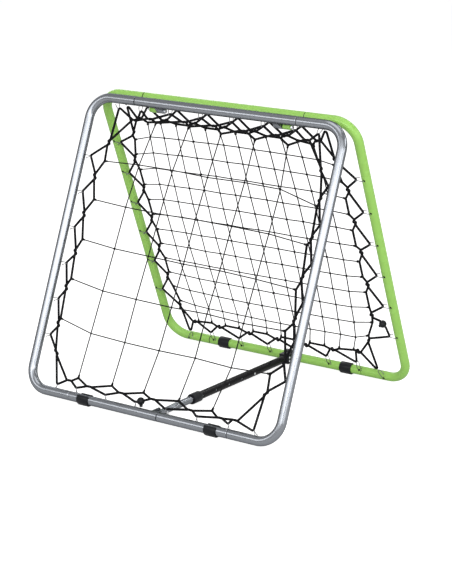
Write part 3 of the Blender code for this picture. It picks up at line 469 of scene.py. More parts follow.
def grained(shader, share, dark, light, height, depth, strength):
    """Gives a shader its colour between two tones, and its bump."""
    tree = shader.id_data
    tones = {"Factor": share, "A": (*dark, 1), "B": (*light, 1)}
    tint = add_node(tree, "ShaderNodeMix", tones, data_type="RGBA")
    bump = add_node(tree, "ShaderNodeBump", {"Height": height, "Distance": depth, "Strength": strength})
    feed(shader, {"Base Color": tint["Result"], "Normal": bump[0]})


def speckled_material(name, color, metallic, roughness, contrast, scale, bump_depth, gleam=0.5, edge=1.0):
    """A finish with a fine grain in its colour, its gloss and its surface."""
    made, tree, shader = material_with_shader(name)
    place = add_node(tree, "ShaderNodeTexCoord")["Object"]
    fine = add_node(tree, "ShaderNodeTexNoise", {"Vector": place, "Scale": scale, "Detail": 3})["Fac"]
    broad = add_node(tree, "ShaderNodeTexNoise", {"Vector": place, "Scale": scale / 40})["Fac"]
    gloss = add_node(tree, "ShaderNodeMapRange", {
        "Value": broad, "To Min": roughness * 0.8, "To Max": roughness * 1.2,
    })
    feed(shader, {
        "Metallic": metallic, "Roughness": gloss[0], "Specular IOR Level": gleam,
        "Specular Tint": (edge, edge, edge, 1),
    })
    dark = [channel * (1 - contrast) for channel in color]
    light = [min(channel * (1 + contrast), 1) for channel in color]
    both = reckon(tree, "MULTIPLY_ADD", fine, 0.5, broad)
    grained(shader, both, dark, light, fine, bump_depth, 0.2)
    return made


ZINC = speckled_material("zinc_plate", (0.16, 0.162, 0.168), 1.0, 0.22, 0.15, 900, 0.0001)


def hook_path(plane, side, hook):
    """Where one hook runs: from its hole over the elastic, round it and back.

    The bend is drawn from the tip and the tail from the tube, as along, across and level.
    """
    base, tip = side.point(hook, 0), side.tip(hook)
    way = (tip - base).normalized()
    cross = Vector((-way.y, way.x))
    path = [in_hole(plane, side, hook, depth) for depth in HOOK_STEM]
    for start, stops in ((tip, HOOK_BEND), (base, HOOK_TAIL)):
        path += [plane.place(start + way * x + cross * y, level) for x, y, level in stops]
    return path


for plane in PLANES:
    paths = [hook_path(plane, side, hook) for side in sides(plane) for hook in side.hooks]
    hooks = bar(f"{plane.name}_hooks", paths, HOOK_WIRE, HOOK_SIDES, ZINC, turn=HOOK_TURN, steps=4)
    finished(hooks, "steel_hardware", plane.body)


# Frame tubes
# Round steel tube of 25 mm with a 1.2 mm wall, bent at the corners, drilled for the hooks and
# pushed together on swaged ends. Silver in front and green behind, both powder coated.
TUBE_WALL = 0.0012
BEND_RADIUS = 0.060
BEND_STEPS = 16
BEND_X = HALF_WIDTH - BEND_RADIUS
QUARTER = math.pi / 2
TUBE_SIDES = 48
DRILL_SIDES = 20
SEAM_EDGE = 0.0006
SEAM_SUPPORT = 0.0015
SPIGOT_RADIUS = 0.0112
SPIGOT_LENGTH = 0.038
SWAGED_BELOW = 0.0118
HOOK_HOLE_RADIUS = 0.0033
HOOK_HOLE_DEPTH = TUBE_WALL * 6
HOLE_MARGIN = 0.006
CORNER_SEAM_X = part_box("front_side_tube_right")[0].x
CENTRE_SEAM_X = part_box("front_bottom_tube_left")[1].x
SHARP_ANGLE = math.radians(38)

SILVER_COAT = speckled_material(
    "silver_coat", (0.28, 0.295, 0.32), 1.0, 0.25, 0.04, 1600, 0.000005, edge=0.25
)
GREEN_COAT = speckled_material("green_coat", (0.30, 0.57, 0.117), 0.0, 0.27, 0.05, 1100, 0.00003, gleam=0.3)
# Bare steel of the bores and the swaged ends, made near black: partly its own colour, partly painted shade in
# the bores and in the gaps at the seams.
BARE_STEEL_AND_SHADE = speckled_material("bare_steel", (0.05, 0.05, 0.054), 1.0, 0.45, 0.3, 1200, 0.0001)
TUBE_COAT = {"front": SILVER_COAT, "rear": GREEN_COAT}
TUBE_SLOT = {"front": "silver_tube", "rear": "green_tube"}


def drilled_wall_tree():
    """Node tree that drills a row of round holes square to their given ways.

    Only the first material is set again, so that the bare steel inside a tube, made near black as painted
    shade, stays.
    """
    tree, given = new_tree("drilled_wall", "Drilled", {
        "Wall": "Geometry", "Drill Points": "Object", "Drill Radius": "Float", "Drill Depth": "Float",
        "Finish": "Material",
    })
    drills = add_node(tree, "GeometryNodeObjectInfo", {"Object": given["Drill Points"]})
    points = add_node(tree, "GeometryNodeMeshToPoints", {"Mesh": drills["Geometry"]})
    way = add_node(tree, "GeometryNodeInputNamedAttribute", {"Name": "way"}, data_type="FLOAT_VECTOR")
    aim = add_node(tree, "FunctionNodeAlignRotationToVector", {"Vector": way[0]}, axis="Z")
    drill = add_node(tree, "GeometryNodeMeshCylinder", {
        "Vertices": DRILL_SIDES, "Radius": given["Drill Radius"], "Depth": given["Drill Depth"],
    })
    each = add_node(tree, "GeometryNodeInstanceOnPoints", {
        "Points": points[0], "Instance": drill["Mesh"], "Rotation": aim[0],
    })
    solid = add_node(tree, "GeometryNodeRealizeInstances", {"Geometry": each[0]})
    cut = add_node(tree, "GeometryNodeMeshBoolean", {
        "Mesh 1": given["Wall"], "Mesh 2": solid[0],
    }, operation="DIFFERENCE", solver="EXACT")
    slot = add_node(tree, "GeometryNodeInputMaterialIndex")[0]
    coated = add_node(tree, "FunctionNodeCompare", {2: slot, 3: 1}, data_type="INT", operation="LESS_THAN")
    return end_tree(tree, cut["Mesh"], given["Finish"], coated[0])


DRILL_TREE = drilled_wall_tree()


def edged(piece):
    """Smooth shading that stops at a piece's sharp edges."""
    piece.data.shade_smooth()
    piece.data.set_sharp_from_angle(angle=SHARP_ANGLE)
    return piece


def drilled(piece, name, drills, radius, depth, finish):
    """Drills holes of one size at (place, way) pairs."""
    mesh = plain_mesh(name + "_drills", [place for place, _ in drills])
    ways = mesh.attributes.new("way", "FLOAT_VECTOR", "POINT")
    for index, (_, way) in enumerate(drills):
        ways.data[index].vector = way
    points = linked(name + "_drills", mesh)
    add_tree(piece, DRILL_TREE, drill_points=points, drill_radius=radius, drill_depth=depth, finish=finish)
    made = baked(piece, name)
    bpy.data.objects.remove(points)
    return edged(made)


def give_wall(skin):
    """Thickens an open skin inwards to the wall of a tube."""
    wall = skin.modifiers.new("wall", "SOLIDIFY")
    wall.thickness = TUBE_WALL
    wall.offset = -1
    return wall


def walled_tube(plane, name, path, swells, holes, height=None):
    """A tube with its wall and the holes for its hooks, in the place of its CAD node.

    The bore is bare steel, and so are the swaged ends of a straight tube at the given height; this steel is
    made near black, which paints shade into the bore and into the gaps at the seams.
    """
    coat = TUBE_COAT[plane.name]
    skin = bar(name + "_skin", [path], TUBE_RADIUS, TUBE_SIDES, coat, ends=False, swells=swells)
    skin.data.materials.append(BARE_STEEL_AND_SHADE)
    if height is not None:
        for face in skin.data.polygons:
            off = face.center - plane.origin
            if math.hypot(off.dot(plane.up) - height, off.dot(plane.inward)) < SWAGED_BELOW:
                face.material_index = 1
    give_wall(skin).material_offset = 1
    drills = []
    for side, hook in holes:
        low, high = (in_hole(plane, side, hook, depth) for depth in (0, TUBE_RADIUS))
        drills.append((high, (high - low).normalized()))
    tube = drilled(skin, name + "_coated", drills, HOOK_HOLE_RADIUS, HOOK_HOLE_DEPTH, coat)
    finished(tube, TUBE_SLOT[plane.name], plane.body, name)


def arc(centre, radius, start, end, steps):
    """Points on an arc, both ends included, angles in radians."""
    angles = [start + (end - start) * step / steps for step in range(steps + 1)]
    return [(centre[0] + radius * math.cos(angle), centre[1] + radius * math.sin(angle)) for angle in angles]


def rim(amount):
    """Swell of a tube that is thinner by an amount."""
    return (TUBE_RADIUS - amount) / TUBE_RADIUS


LIP = ((0, rim(SEAM_EDGE)), (SEAM_EDGE * 0.4, rim(SEAM_EDGE * 0.25)), (SEAM_EDGE, 1), (SEAM_SUPPORT, 1))
SPIGOT = rim(TUBE_RADIUS - SPIGOT_RADIUS)
SHOULDER = (
    (-SPIGOT_LENGTH, SPIGOT), (-0.0005, SPIGOT), (0.0019, SPIGOT), (0.0024, rim(0.0008)),
    (0.0031, rim(0.0002)), (0.0038, 1), (0.0048, 1),
)

for plane in PLANES:
    left, bottom, right, top = sides(plane)
    for sign, side_name, upright in ((-1, "left", left), (1, "right", right)):
        margins = (-HOLE_MARGIN, HOLE_MARGIN)
        levels = [upright.point(hook, 0).y + step for hook in upright.hooks for step in margins]
        run = [(CORNER_SEAM_X + step, plane.side, swell) for step, swell in LIP]
        bend = arc((BEND_X, plane.side - BEND_RADIUS), BEND_RADIUS, QUARTER, 0, BEND_STEPS)
        run += [(x, y, 1) for x, y in bend]
        run += [(HALF_WIDTH, level, 1) for level in sorted(levels, reverse=True)]
        run += [(x, y, 1) for x, y in arc((BEND_X, BEND_RADIUS), BEND_RADIUS, 0, -QUARTER, BEND_STEPS)]
        run += [(CORNER_SEAM_X + step, 0, swell) for step, swell in reversed(LIP)]
        path, swells = [plane.place((sign * x, y)) for x, y, _ in run], [swell for *_, swell in run]
        holes = [(upright, hook) for hook in upright.hooks]
        holes += [(side, sign * side.travel.x * CORNER_HOOK_X) for side in (bottom, top)]
        walled_tube(plane, f"{plane.name}_side_tube_{side_name}", path, swells, holes)

    for name, side, low, high, low_join, high_join in (
        ("top_tube", top, -CORNER_SEAM_X, CORNER_SEAM_X, SHOULDER, SHOULDER),
        ("bottom_tube_left", bottom, -CORNER_SEAM_X, CENTRE_SEAM_X, SHOULDER, LIP),
        ("bottom_tube_right", bottom, CENTRE_SEAM_X, CORNER_SEAM_X, SHOULDER, SHOULDER),
    ):
        holes = [(side, hook) for hook in side.hooks if low < side.point(hook, 0).x < high]
        stops = [(low + step, swell) for step, swell in low_join]
        for side, hook in holes:
            stops += [(side.point(hook, 0).x + step, 1) for step in (-HOLE_MARGIN, HOLE_MARGIN)]
        stops += [(high - step, swell) for step, swell in high_join]
        stops.sort()
        path = [plane.place((x, side.origin.y)) for x, _ in stops]
        walled_tube(plane, f"{plane.name}_{name}", path, [swell for _, swell in stops], holes, side.origin.y)


# Net and border rope
# Knotted twine, wide-meshed in front and fine-meshed behind. Each strand forks into a small tie
# that is knotted round a braided rope, and the lacing pulls the rope out between the ties.
@dataclass(frozen=True)
class Net:
    strands: int
    column_pitch: float
    row_pitch: float
    column_bulge: float
    row_bulge: float
    skew: float
    slope: float
    rise: float


NETS = {
    "front": Net(5, 0.1168, 0.1172, 0.002, 0, 0.070, -0.018, -0.002),
    "rear": Net(12, 0.0523, 0.0528, 0.0133, 0.0048, 0.013, 0, 0.004),
}
NET_LEVEL = 0.012
TWINE_RADIUS = 0.0016
TIE_RADIUS = TWINE_RADIUS * 1.15
KNOT_RADIUS = TWINE_RADIUS * 2.2
KNOT_LEAST, KNOT_MOST = (0.85, 0.8, 0.65), (1.25, 1.0, 0.85)
BORDER_RADIUS = 0.0032
BOUND_HALF = 0.008
STRAND_STANDOFF = 0.007
BORDER_SIDES = 12
BORDER_TURN = 0.006
TWINE_SIDES = 6
CORD_ROUGHNESS = 0.82
CORD_GLEAM = 0.1
TIE_LENGTH = 0.0065
TIE_SPREAD = 0.0032
HAND_SLACK = 0.018


def corner_place(plane, side, following):
    """The bound place that cuts the corner between two sides."""
    low = side.travel.y < 0 or following.travel.y > 0
    right = side.travel.x > 0 or following.travel.x < 0
    x = HALF_WIDTH - side.edge.corner_inset
    rise = side.edge.corner_rise
    return Vector((x if right else -x, rise if low else plane.side - rise))


def strand_numbers(net):
    return [index - (net.strands - 1) / 2 for index in range(net.strands)]


def net_crossing(plane, column, row):
    """Crossing of a column and a row of the net, which bulges a little at its middle."""
    net = NETS[plane.name]
    outermost = (net.strands - 1) / 2
    c, r = column / outermost, row / outermost
    across = column * net.column_pitch - c * r * r * net.column_bulge
    up = row * net.row_pitch - r * c * c * net.row_bulge
    return Vector((across + net.skew * up, plane.side / 2 + net.rise + up + net.slope * across))


def strand_end(plane, side, number):
    """Where a strand is tied to the border rope on one side, as progress and inset."""
    order = strand_numbers(NETS[plane.name])
    if side.travel.x + side.travel.y < 0:
        order.reverse()
    progress, inset = side.edge.ties[order.index(number)]
    clear = BOUND_HALF + STRAND_STANDOFF
    for place, _ in side.edge.bound:
        if abs(progress - place) < clear:
            progress = place + math.copysign(clear, progress - place)
    return progress, inset


def bound_stretches(plane, side, following):
    """Each hook's tip on a side, with both ends of the bound place that comes after it."""
    tips = [side.tip(hook) for hook in side.hooks] + [following.tip(following.hooks[0])]
    centres = [side.point(*place) for place in side.edge.bound] + [corner_place(plane, side, following)]
    made = []
    for centre, before, after in zip(centres, tips, tips[1:]):
        half = (after - before).normalized() * BOUND_HALF
        made.append((before, [centre - half, centre + half]))
    return made


def side_pairs(plane):
    loop = sides(plane)
    return list(zip(loop, loop[1:] + loop[:1]))


def lacing_stations(plane):
    """The hooks' tips and the bound places in the order that the lacing takes them."""
    return [station for pair in side_pairs(plane) for station in bound_stretches(plane, *pair)]


def border_path(plane):
    """Closed route of the border rope: bound places and strand ends in turn."""
    path = []
    for side, following in side_pairs(plane):
        *bound, corner = [stretch for _, stretch in bound_stretches(plane, side, following)]
        ends = [strand_end(plane, side, number) for number in strand_numbers(NETS[plane.name])]
        stops = [(end[0], [side.point(*end)]) for end in ends]
        stops += [(place[0], stretch) for place, stretch in zip(side.edge.bound, bound)]
        for _, points in sorted(stops, key=lambda stop: stop[0]):
            path += points
        path += corner
    return path


def cord_material(name, dark, light, yarns, lay, depth):
    """Braided or twisted cord whose yarns run round it as they go along it; its colour is painted shade, dark
    in the grooves between the yarns and light on their crests.
    """
    made, tree, shader = material_with_shader(name)
    feed(shader, {"Roughness": CORD_ROUGHNESS, "Specular IOR Level": CORD_GLEAM})
    section = add_node(tree, "ShaderNodeAttribute", attribute_name="section")["Vector"]
    along = add_node(tree, "ShaderNodeAttribute", attribute_name="along")["Fac"]
    split = add_node(tree, "ShaderNodeSeparateXYZ", {0: section})
    angle = reckon(tree, "ARCTAN2", split["Y"], split["X"])
    waves = []
    for yarns_round in (yarns, -yarns):
        round_part = reckon(tree, "MULTIPLY", angle, yarns_round)
        phase = reckon(tree, "MULTIPLY_ADD", along, math.tau / lay, round_part)
        waves.append(reckon(tree, "SINE", phase))
    braid = reckon(tree, "MAXIMUM", *waves)
    # The dark tone falls in the grooves between the yarns and the light one on their crests: painted shade.
    shade = add_node(tree, "ShaderNodeMapRange", {"Value": braid, "From Min": -1})[0]
    grained(shader, shade, dark, light, braid, depth, 0.8)
    return made


# The dark tone of each cord paints shade between its yarns, the light tone its crests.
BORDER_BRAID = cord_material("border_braid", (0.003,) * 3, (0.009, 0.009, 0.010), 3, 0.007, 0.0003)
TWINE = cord_material("net_twine", (0.006,) * 3, (0.018, 0.018, 0.019), 2, 0.004, 0.0002)
KNOT_TWINE = speckled_material("knot_twine", (0.006, 0.006, 0.007), 0.0, 0.85, 0.5, 1500, 0.0003, gleam=0.1)


def knots_tree():
    """Node tree that sets a small turned knot on every point, with a fixed scatter."""
    tree, given = new_tree("knots_on_points", "Knots", {
        "Points": "Geometry", "Knot Radius": "Float", "Finish": "Material",
    })
    ball = add_node(tree, "GeometryNodeMeshIcoSphere", {"Radius": given["Knot Radius"], "Subdivisions": 2})
    smooth = add_node(tree, "GeometryNodeSetShadeSmooth", {"Geometry": ball["Mesh"]})
    points = add_node(tree, "GeometryNodeMeshToPoints", {"Mesh": given["Points"]})
    turn, size = (
        add_node(tree, "FunctionNodeRandomValue", {0: least, 1: most, "Seed": seed}, data_type="FLOAT_VECTOR")
        for least, most, seed in (((0, 0, 0), (math.tau,) * 3, 3), (KNOT_LEAST, KNOT_MOST, 8))
    )
    each = add_node(tree, "GeometryNodeInstanceOnPoints", {
        "Points": points[0], "Instance": smooth[0], "Rotation": turn[0], "Scale": size[0],
    })
    return end_tree(tree, each[0], given["Finish"])


KNOTS_TREE = knots_tree()


def laid(plane, path):
    return [plane.place(point, NET_LEVEL) for point in path]


def knots(name, places):
    source = linked(name + "_points", plain_mesh(name, places))
    add_tree(source, KNOTS_TREE, knot_radius=KNOT_RADIUS, finish=KNOT_TWINE)
    return baked(source, name)


for plane in PLANES:
    net = NETS[plane.name]
    left, bottom, right, top = sides(plane)
    numbers = strand_numbers(net)
    generator = random.Random(5)
    slack = net.row_pitch * HAND_SLACK
    crossings = {}
    for column in numbers:
        for row in numbers:
            shift = Vector((generator.uniform(-slack, slack), generator.uniform(-slack, slack)))
            crossings[column, row] = net_crossing(plane, column, row) + shift
    strands, ties, tie_knots = [], [], []
    runs = [(left, right, row, [crossings[column, row] for column in numbers]) for row in numbers]
    runs += [(bottom, top, column, [crossings[column, row] for row in numbers]) for column in numbers]
    for first, second, number, inner in runs:
        ends = []
        for side, toward in ((first, inner[0]), (second, inner[-1])):
            at_border = side.point(*strand_end(plane, side, number))
            way = (toward - at_border).normalized()
            cross = Vector((-way.y, way.x))
            knot = at_border + way * TIE_LENGTH
            ties += [laid(plane, (at_border + cross * spread, knot)) for spread in (-TIE_SPREAD, TIE_SPREAD)]
            ends.append(knot)
        tie_knots += laid(plane, ends)
        strands.append(laid(plane, (ends[0], *inner, ends[1])))
    name, body = plane.name, plane.body
    mesh = bar(f"{name}_net_strands", strands, TWINE_RADIUS, TWINE_SIDES, TWINE)
    finished(mesh, "cord", body, f"{name}_net")
    finished(knots(f"{name}_net_knots", laid(plane, crossings.values())), "cord", body)
    finished(bar(f"{name}_net_ties", ties, TIE_RADIUS, TWINE_SIDES, BORDER_BRAID), "cord", body)
    finished(knots(f"{name}_tie_knots", tie_knots), "cord", body)
    border = bar(
        f"{name}_border_braid", [laid(plane, border_path(plane))], BORDER_RADIUS, BORDER_SIDES,
        BORDER_BRAID, turn=BORDER_TURN, steps=4, closed_path=True, ends=False,
    )
    finished(border, "cord", body, f"{name}_border_rope")


# Elastic lacing
# Braided elastic cord of 6.6 mm. It runs over every hook and takes one turn round the border
# rope between two hooks. Both its ends pass through the cord lock.
LACING_RADIUS = 0.0033
LACING_SIDES = 10
LACING_TURN = 0.004
LOCK_LEVEL = 0.0090
LACING_ENDS = (0.002, 0.012)
TURN_SPREAD = 0.0006
TURN_HEIGHT = 0.0054
TURN_POINTS = 12
LOCK_AT = {"front": (9, 0.42, 0.002), "rear": (14, 0.55, 0.010)}
# The elastic's two tones paint shade between its yarns, as for the other cords.
ELASTIC = cord_material("elastic_braid", (0.003, 0.003, 0.004), (0.010, 0.010, 0.012), 4, 0.006, 0.0003)


def lock_place(plane):
    """Centre and cord direction of the cord lock, between a hook and a bound place."""
    station, share, sag = LOCK_AT[plane.name]
    tip, stretch = lacing_stations(plane)[station]
    direction = (stretch[0] - tip).normalized()
    return tip.lerp(stretch[0], share) + Vector((direction.y, -direction.x)) * sag, direction


def turn_round_rope(plane, stretch):
    """One turn of the elastic round the border rope, from its outer side back to there."""
    start, end = stretch
    way = (end - start).normalized()
    outward = Vector((way.y, -way.x))
    points = []
    for step in range(TURN_POINTS + 1):
        share = step / TURN_POINTS
        angle = math.tau * share
        flat = start.lerp(end, share) + outward * math.cos(angle) * TURN_SPREAD
        points.append(plane.place(flat, NET_LEVEL - math.sin(angle) * TURN_HEIGHT))
    return points


for plane in PLANES:
    stations = lacing_stations(plane)
    first = LOCK_AT[plane.name][0]
    ordered = stations[first:] + stations[:first]
    centre, direction = lock_place(plane)
    path = [plane.place(centre + direction * reach, LOCK_LEVEL) for reach in LACING_ENDS]
    for index, (tip, stretch) in enumerate(ordered):
        if index:
            path.append(plane.place(tip, NET_LEVEL))
        path += turn_round_rope(plane, stretch)
    path.append(plane.place(ordered[0][0], NET_LEVEL))
    path += [plane.place(centre - direction * reach, LOCK_LEVEL) for reach in reversed(LACING_ENDS)]
    lacing = bar(
        f"{plane.name}_lacing_elastic", [path], LACING_RADIUS, LACING_SIDES, ELASTIC, turn=LACING_TURN,
        steps=3,
    )
    finished(lacing, "cord", plane.body, f"{plane.name}_lacing_cord")


# Cord locks
# A moulded ball with a sprung plunger. Pressed in, the plunger moves its eye towards the ball's
# cord hole and frees the elastic; let go, it pinches it.
LOCK_RADIUS = 0.0105
LOCK_SEAM = 0.0002
LOCK_BORE_RADIUS = 0.0046
LOCK_BORE_DEPTH = 0.0075
LOCK_CORD_HOLE_RADIUS = 0.0035
PLUNGER_RADIUS = 0.0043
PLUNGER_GROOVE = 0.0040
PLUNGER_NUB = 0.0050
PLUNGER_FOOT = -0.0005
PLUNGER_TRAVEL = 0.0030
EYE_PRESSED = 0.0025
SPRING_WIRE = 0.0005
SPRING_TURNS = 4
TURN_STEPS = 16
BLACK_PLASTIC = speckled_material(
    "black_plastic", (0.007, 0.008, 0.010), 0.0, 0.42, 0.3, 1500, 0.0002, gleam=0.2
)
BRIGHT_ZINC = speckled_material("bright_zinc", (0.62, 0.63, 0.65), 1.0, 0.28, 0.12, 900, 0.0001)


def ringed(name, rings, finish, closed=False, capped=False):
    """A skin over rings of points; a ring of one point closes the skin there."""
    mesh = bmesh.new()
    layers = [[mesh.verts.new(point) for point in ring] for ring in rings]
    if capped:
        mesh.faces.new(layers[0][::-1])
        mesh.faces.new(layers[-1])
    for low, high in zip(layers, layers[1:] + layers[:1] * closed):
        count = max(len(low), len(high))
        for index in range(count):
            here, after = index % len(low), (index + 1) % count
            corners = [low[here], low[after % len(low)], high[after % len(high)], high[index % len(high)]]
            mesh.faces.new(list(dict.fromkeys(corners)))
    bmesh.ops.recalc_face_normals(mesh, faces=mesh.faces)
    data = bpy.data.meshes.new(name)
    mesh.to_mesh(data)
    mesh.free()
    data.materials.append(finish)
    return edged(linked(name, data))


def lathed(name, profile, origin, axis, finish, closed=False, steps=40, outline=None):
    """A profile of (radius, height) turned about an axis; outline may shape a ring by angle."""
    axis = axis.normalized()
    first = axis.orthogonal().normalized()
    second = axis.cross(first)
    rings = []
    for radius, height, *shaped in profile:
        centre = origin + axis * height
        if radius == 0:
            rings.append([centre])
            continue
        ring = []
        for step in range(steps):
            angle = math.tau * step / steps
            reach = min(radius, outline(angle)) if outline and shaped else radius
            ring.append(centre + (first * math.cos(angle) + second * math.sin(angle)) * reach)
        rings.append(ring)
    return ringed(name, rings, finish, closed)


def bored(piece, place, way, radius, depth, finish):
    return drilled(piece, piece.name, [(place, way)], radius, depth, finish)


for plane in PLANES:
    name, body = plane.name, plane.body
    flat, direction = lock_place(plane)
    centre = plane.place(flat, LOCK_LEVEL)
    cord_way = ALONG * direction.x + plane.up * direction.y
    press = (ALONG * direction.y - plane.up * direction.x) * -plane.facing
    ball = []
    for degrees in range(-90, 75, 5):
        angle = math.radians(degrees)
        equator = LOCK_RADIUS + (0 if degrees else LOCK_SEAM)
        ball.append((equator * math.cos(angle), LOCK_RADIUS * math.sin(angle)))
    ball[0] = (0, -LOCK_RADIUS)
    mouth = ball[-1][1] + 0.0006
    ball += [(0.0056, mouth), (0.0050, mouth + 0.0002), (LOCK_BORE_RADIUS, mouth - 0.0003)]
    ball += [(LOCK_BORE_RADIUS, -LOCK_BORE_DEPTH), (0, -LOCK_BORE_DEPTH)]
    lock = lathed(f"{name}_lock_ball", ball, centre, press, BLACK_PLASTIC)
    lock = bored(lock, centre, cord_way, LOCK_CORD_HOLE_RADIUS, LOCK_RADIUS * 3, BLACK_PLASTIC)
    finished(lock, "black_plastic", body, f"{name}_cord_lock_body")

    crown = LOCK_RADIUS + PLUNGER_NUB
    stem = [(0, PLUNGER_FOOT), (PLUNGER_RADIUS, PLUNGER_FOOT), (PLUNGER_RADIUS, LOCK_RADIUS)]
    for ring in range(3):
        foot = LOCK_RADIUS + 0.0006 + ring * 0.0011
        stem += [(PLUNGER_RADIUS, foot), (PLUNGER_GROOVE, foot + 0.0002)]
        stem += [(PLUNGER_GROOVE, foot + 0.0005), (PLUNGER_RADIUS, foot + 0.0007)]
    stem += [(PLUNGER_RADIUS, crown - 0.0012), (PLUNGER_GROOVE, crown - 0.0004)]
    stem += [(0.0030, crown - 0.0001), (0, crown)]
    plunger = lathed(f"{name}_lock_stem", stem, centre, press, BLACK_PLASTIC)
    eye = centre + press * (EYE_PRESSED + PLUNGER_TRAVEL)
    plunger = bored(plunger, eye, cord_way, LACING_RADIUS, LOCK_BORE_RADIUS * 4, BLACK_PLASTIC)
    finished(plunger, "black_plastic", f"{name}_lock_plunger", f"{name}_cord_lock_plunger")

    side_way = cord_way.cross(press)
    low, high = -LOCK_BORE_DEPTH + SPRING_WIRE * 1.5, PLUNGER_FOOT - SPRING_WIRE * 1.5
    coil = []
    for step in range(SPRING_TURNS * TURN_STEPS + 1):
        angle = math.tau * step / TURN_STEPS
        height = low + (high - low) * step / (SPRING_TURNS * TURN_STEPS)
        round_way = cord_way * math.cos(angle) + side_way * math.sin(angle)
        coil.append(centre + round_way * (LOCK_BORE_RADIUS - 2 * SPRING_WIRE) + press * height)
    spring = bar(f"{name}_lock_coil", [coil], SPRING_WIRE, 8, BRIGHT_ZINC)
    finished(spring, "steel_hardware", body, f"{name}_cord_lock_spring")
    bottom = centre - press * LOCK_BORE_DEPTH
    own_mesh(spring)


# Foot clips
# Split sleeves of black plastic snapped round the bottom tubes, each with a flat foot under it.
# The slit faces up in front, and outward and up behind.
CLIP_WALL = 0.0027
CLIP_GAP = 0.0003
CLIP_BORE = TUBE_RADIUS + CLIP_GAP
CLIP_OUTER = CLIP_BORE + CLIP_WALL
CLIP_FOOT_HALF = 0.007
CLIP_HEEL = 0.86
CLIP_EDGE = 0.0007
CLIP_SLOT_HALF_ANGLE = math.radians(33)
SLOT_ANGLE = {"front": math.radians(90), "rear": math.radians(40)}


def drawing(origin, across, upward, along):
    """Matrix that takes a drawing's X, Y and depth to the world."""
    turn = Matrix((across, upward, along)).transposed().to_4x4()
    return Matrix.Translation(origin) @ turn


def slab(name, outline, depth, place, finish):
    """A closed outline cut from stock of a thickness, centred on its drawing."""
    rings = [[place @ Vector((x, y, z)) for x, y in outline] for z in (-depth / 2, depth / 2)]
    return ringed(name, rings, finish, capped=True)


def rounded(piece, radius):
    """Breaks the sharp edges of a piece."""
    bevel = piece.modifiers.new("edges", "BEVEL")
    bevel.width = radius
    bevel.segments = 2
    bevel.limit_method = "ANGLE"
    bevel.angle_limit = math.radians(40)
    name = piece.name
    piece.name = name + "_sharp"
    return edged(baked(piece, name))


for plane in PLANES:
    before, after = (SLOT_ANGLE[plane.name] + side * CLIP_SLOT_HALF_ANGLE for side in (-1, 1))
    heel = -math.sqrt(CLIP_OUTER**2 - CLIP_FOOT_HALF**2) * CLIP_HEEL
    foot_angle = math.atan2(heel, CLIP_FOOT_HALF)
    outline = arc((0, 0), CLIP_OUTER, after, math.pi - foot_angle, 22)
    outline += [(-CLIP_FOOT_HALF, -CLIP_OUTER), (CLIP_FOOT_HALF, -CLIP_OUTER)]
    outline += arc((0, 0), CLIP_OUTER, foot_angle, before, 12)
    outline += arc((0, 0), CLIP_BORE, before, after - math.tau, 40)
    outward = REARWARD * plane.facing
    for side_name in ("left", "right"):
        node = f"{plane.name}_foot_clip_{side_name}"
        low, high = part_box(node)
        centre = Vector(((low.x + high.x) / 2, plane.origin.y, plane.origin.z))
        place = drawing(centre, outward, RISING, outward.cross(RISING))
        clip = slab(node + "_moulded", outline, high.x - low.x, place, BLACK_PLASTIC)
        finished(rounded(clip, CLIP_EDGE), "black_plastic", plane.body, node)


# Hinges
# Under each end of the top tubes a silver lug and a green lug stand side by side, welded to
# their tubes. A zinc bolt with a lock nut joins them, and a plastic washer parts them.
LUG_RADIUS = 0.0075
LUG_SADDLE = TUBE_RADIUS + 0.0001
LUG_EDGE = 0.0005
BOLT_PLAY = 0.0003
HINGE_BOLT_RADIUS = 0.0030
HINGE_LINE = Vector((0, 0, middle_of("hinge_bolt_left").z))
BEAD_RADIUS = 0.0011
BEAD_STEPS = 14
THREAD_PITCH = 0.0007
WASHER_BORE = 0.0031
WASHER_RADIUS = 0.0060


def lug_outline(distance, end_radius):
    """A lug round a pin at the drawing's origin, reaching up to the saddle of a tube."""
    half_angle = math.asin(end_radius / LUG_SADDLE)
    outline = arc((0, 0), end_radius, -math.pi, 0, 24)
    return outline + arc((0, distance), LUG_SADDLE, half_angle - QUARTER, -half_angle - QUARTER, 16)


def weld_beads(name, place, distance, end_radius, width, finish):
    """A rippled bead of weld along each long edge of a lug's saddle."""
    height = distance - math.sqrt(LUG_SADDLE**2 - end_radius**2)
    points = [(step / BEAD_STEPS - 0.5) * width for step in range(BEAD_STEPS + 1)]
    edges = (-end_radius - 0.0002, end_radius + 0.0002)
    paths = [[place @ Vector((edge, height, along)) for along in points] for edge in edges]
    swells = [1.1 if step % 2 else 0.85 for step in range(BEAD_STEPS + 1)]
    return bar(name, paths, BEAD_RADIUS, 10, finish, swells=swells)


def hexagon(flat):
    """Reach of a hexagon over its flats by angle."""
    return lambda angle: flat / math.cos((angle + math.pi / 6) % (math.pi / 3) - math.pi / 6)


def thread(radius, start, end):
    """Profile of a thread's ridges between two heights."""
    ridges = []
    pitch = math.copysign(THREAD_PITCH, end - start)
    for index in range(round((end - start) / pitch)):
        height = start + pitch * (index + 0.5)
        ridges += [(radius - 0.0003, height), (radius, height + pitch / 2)]
    return ridges


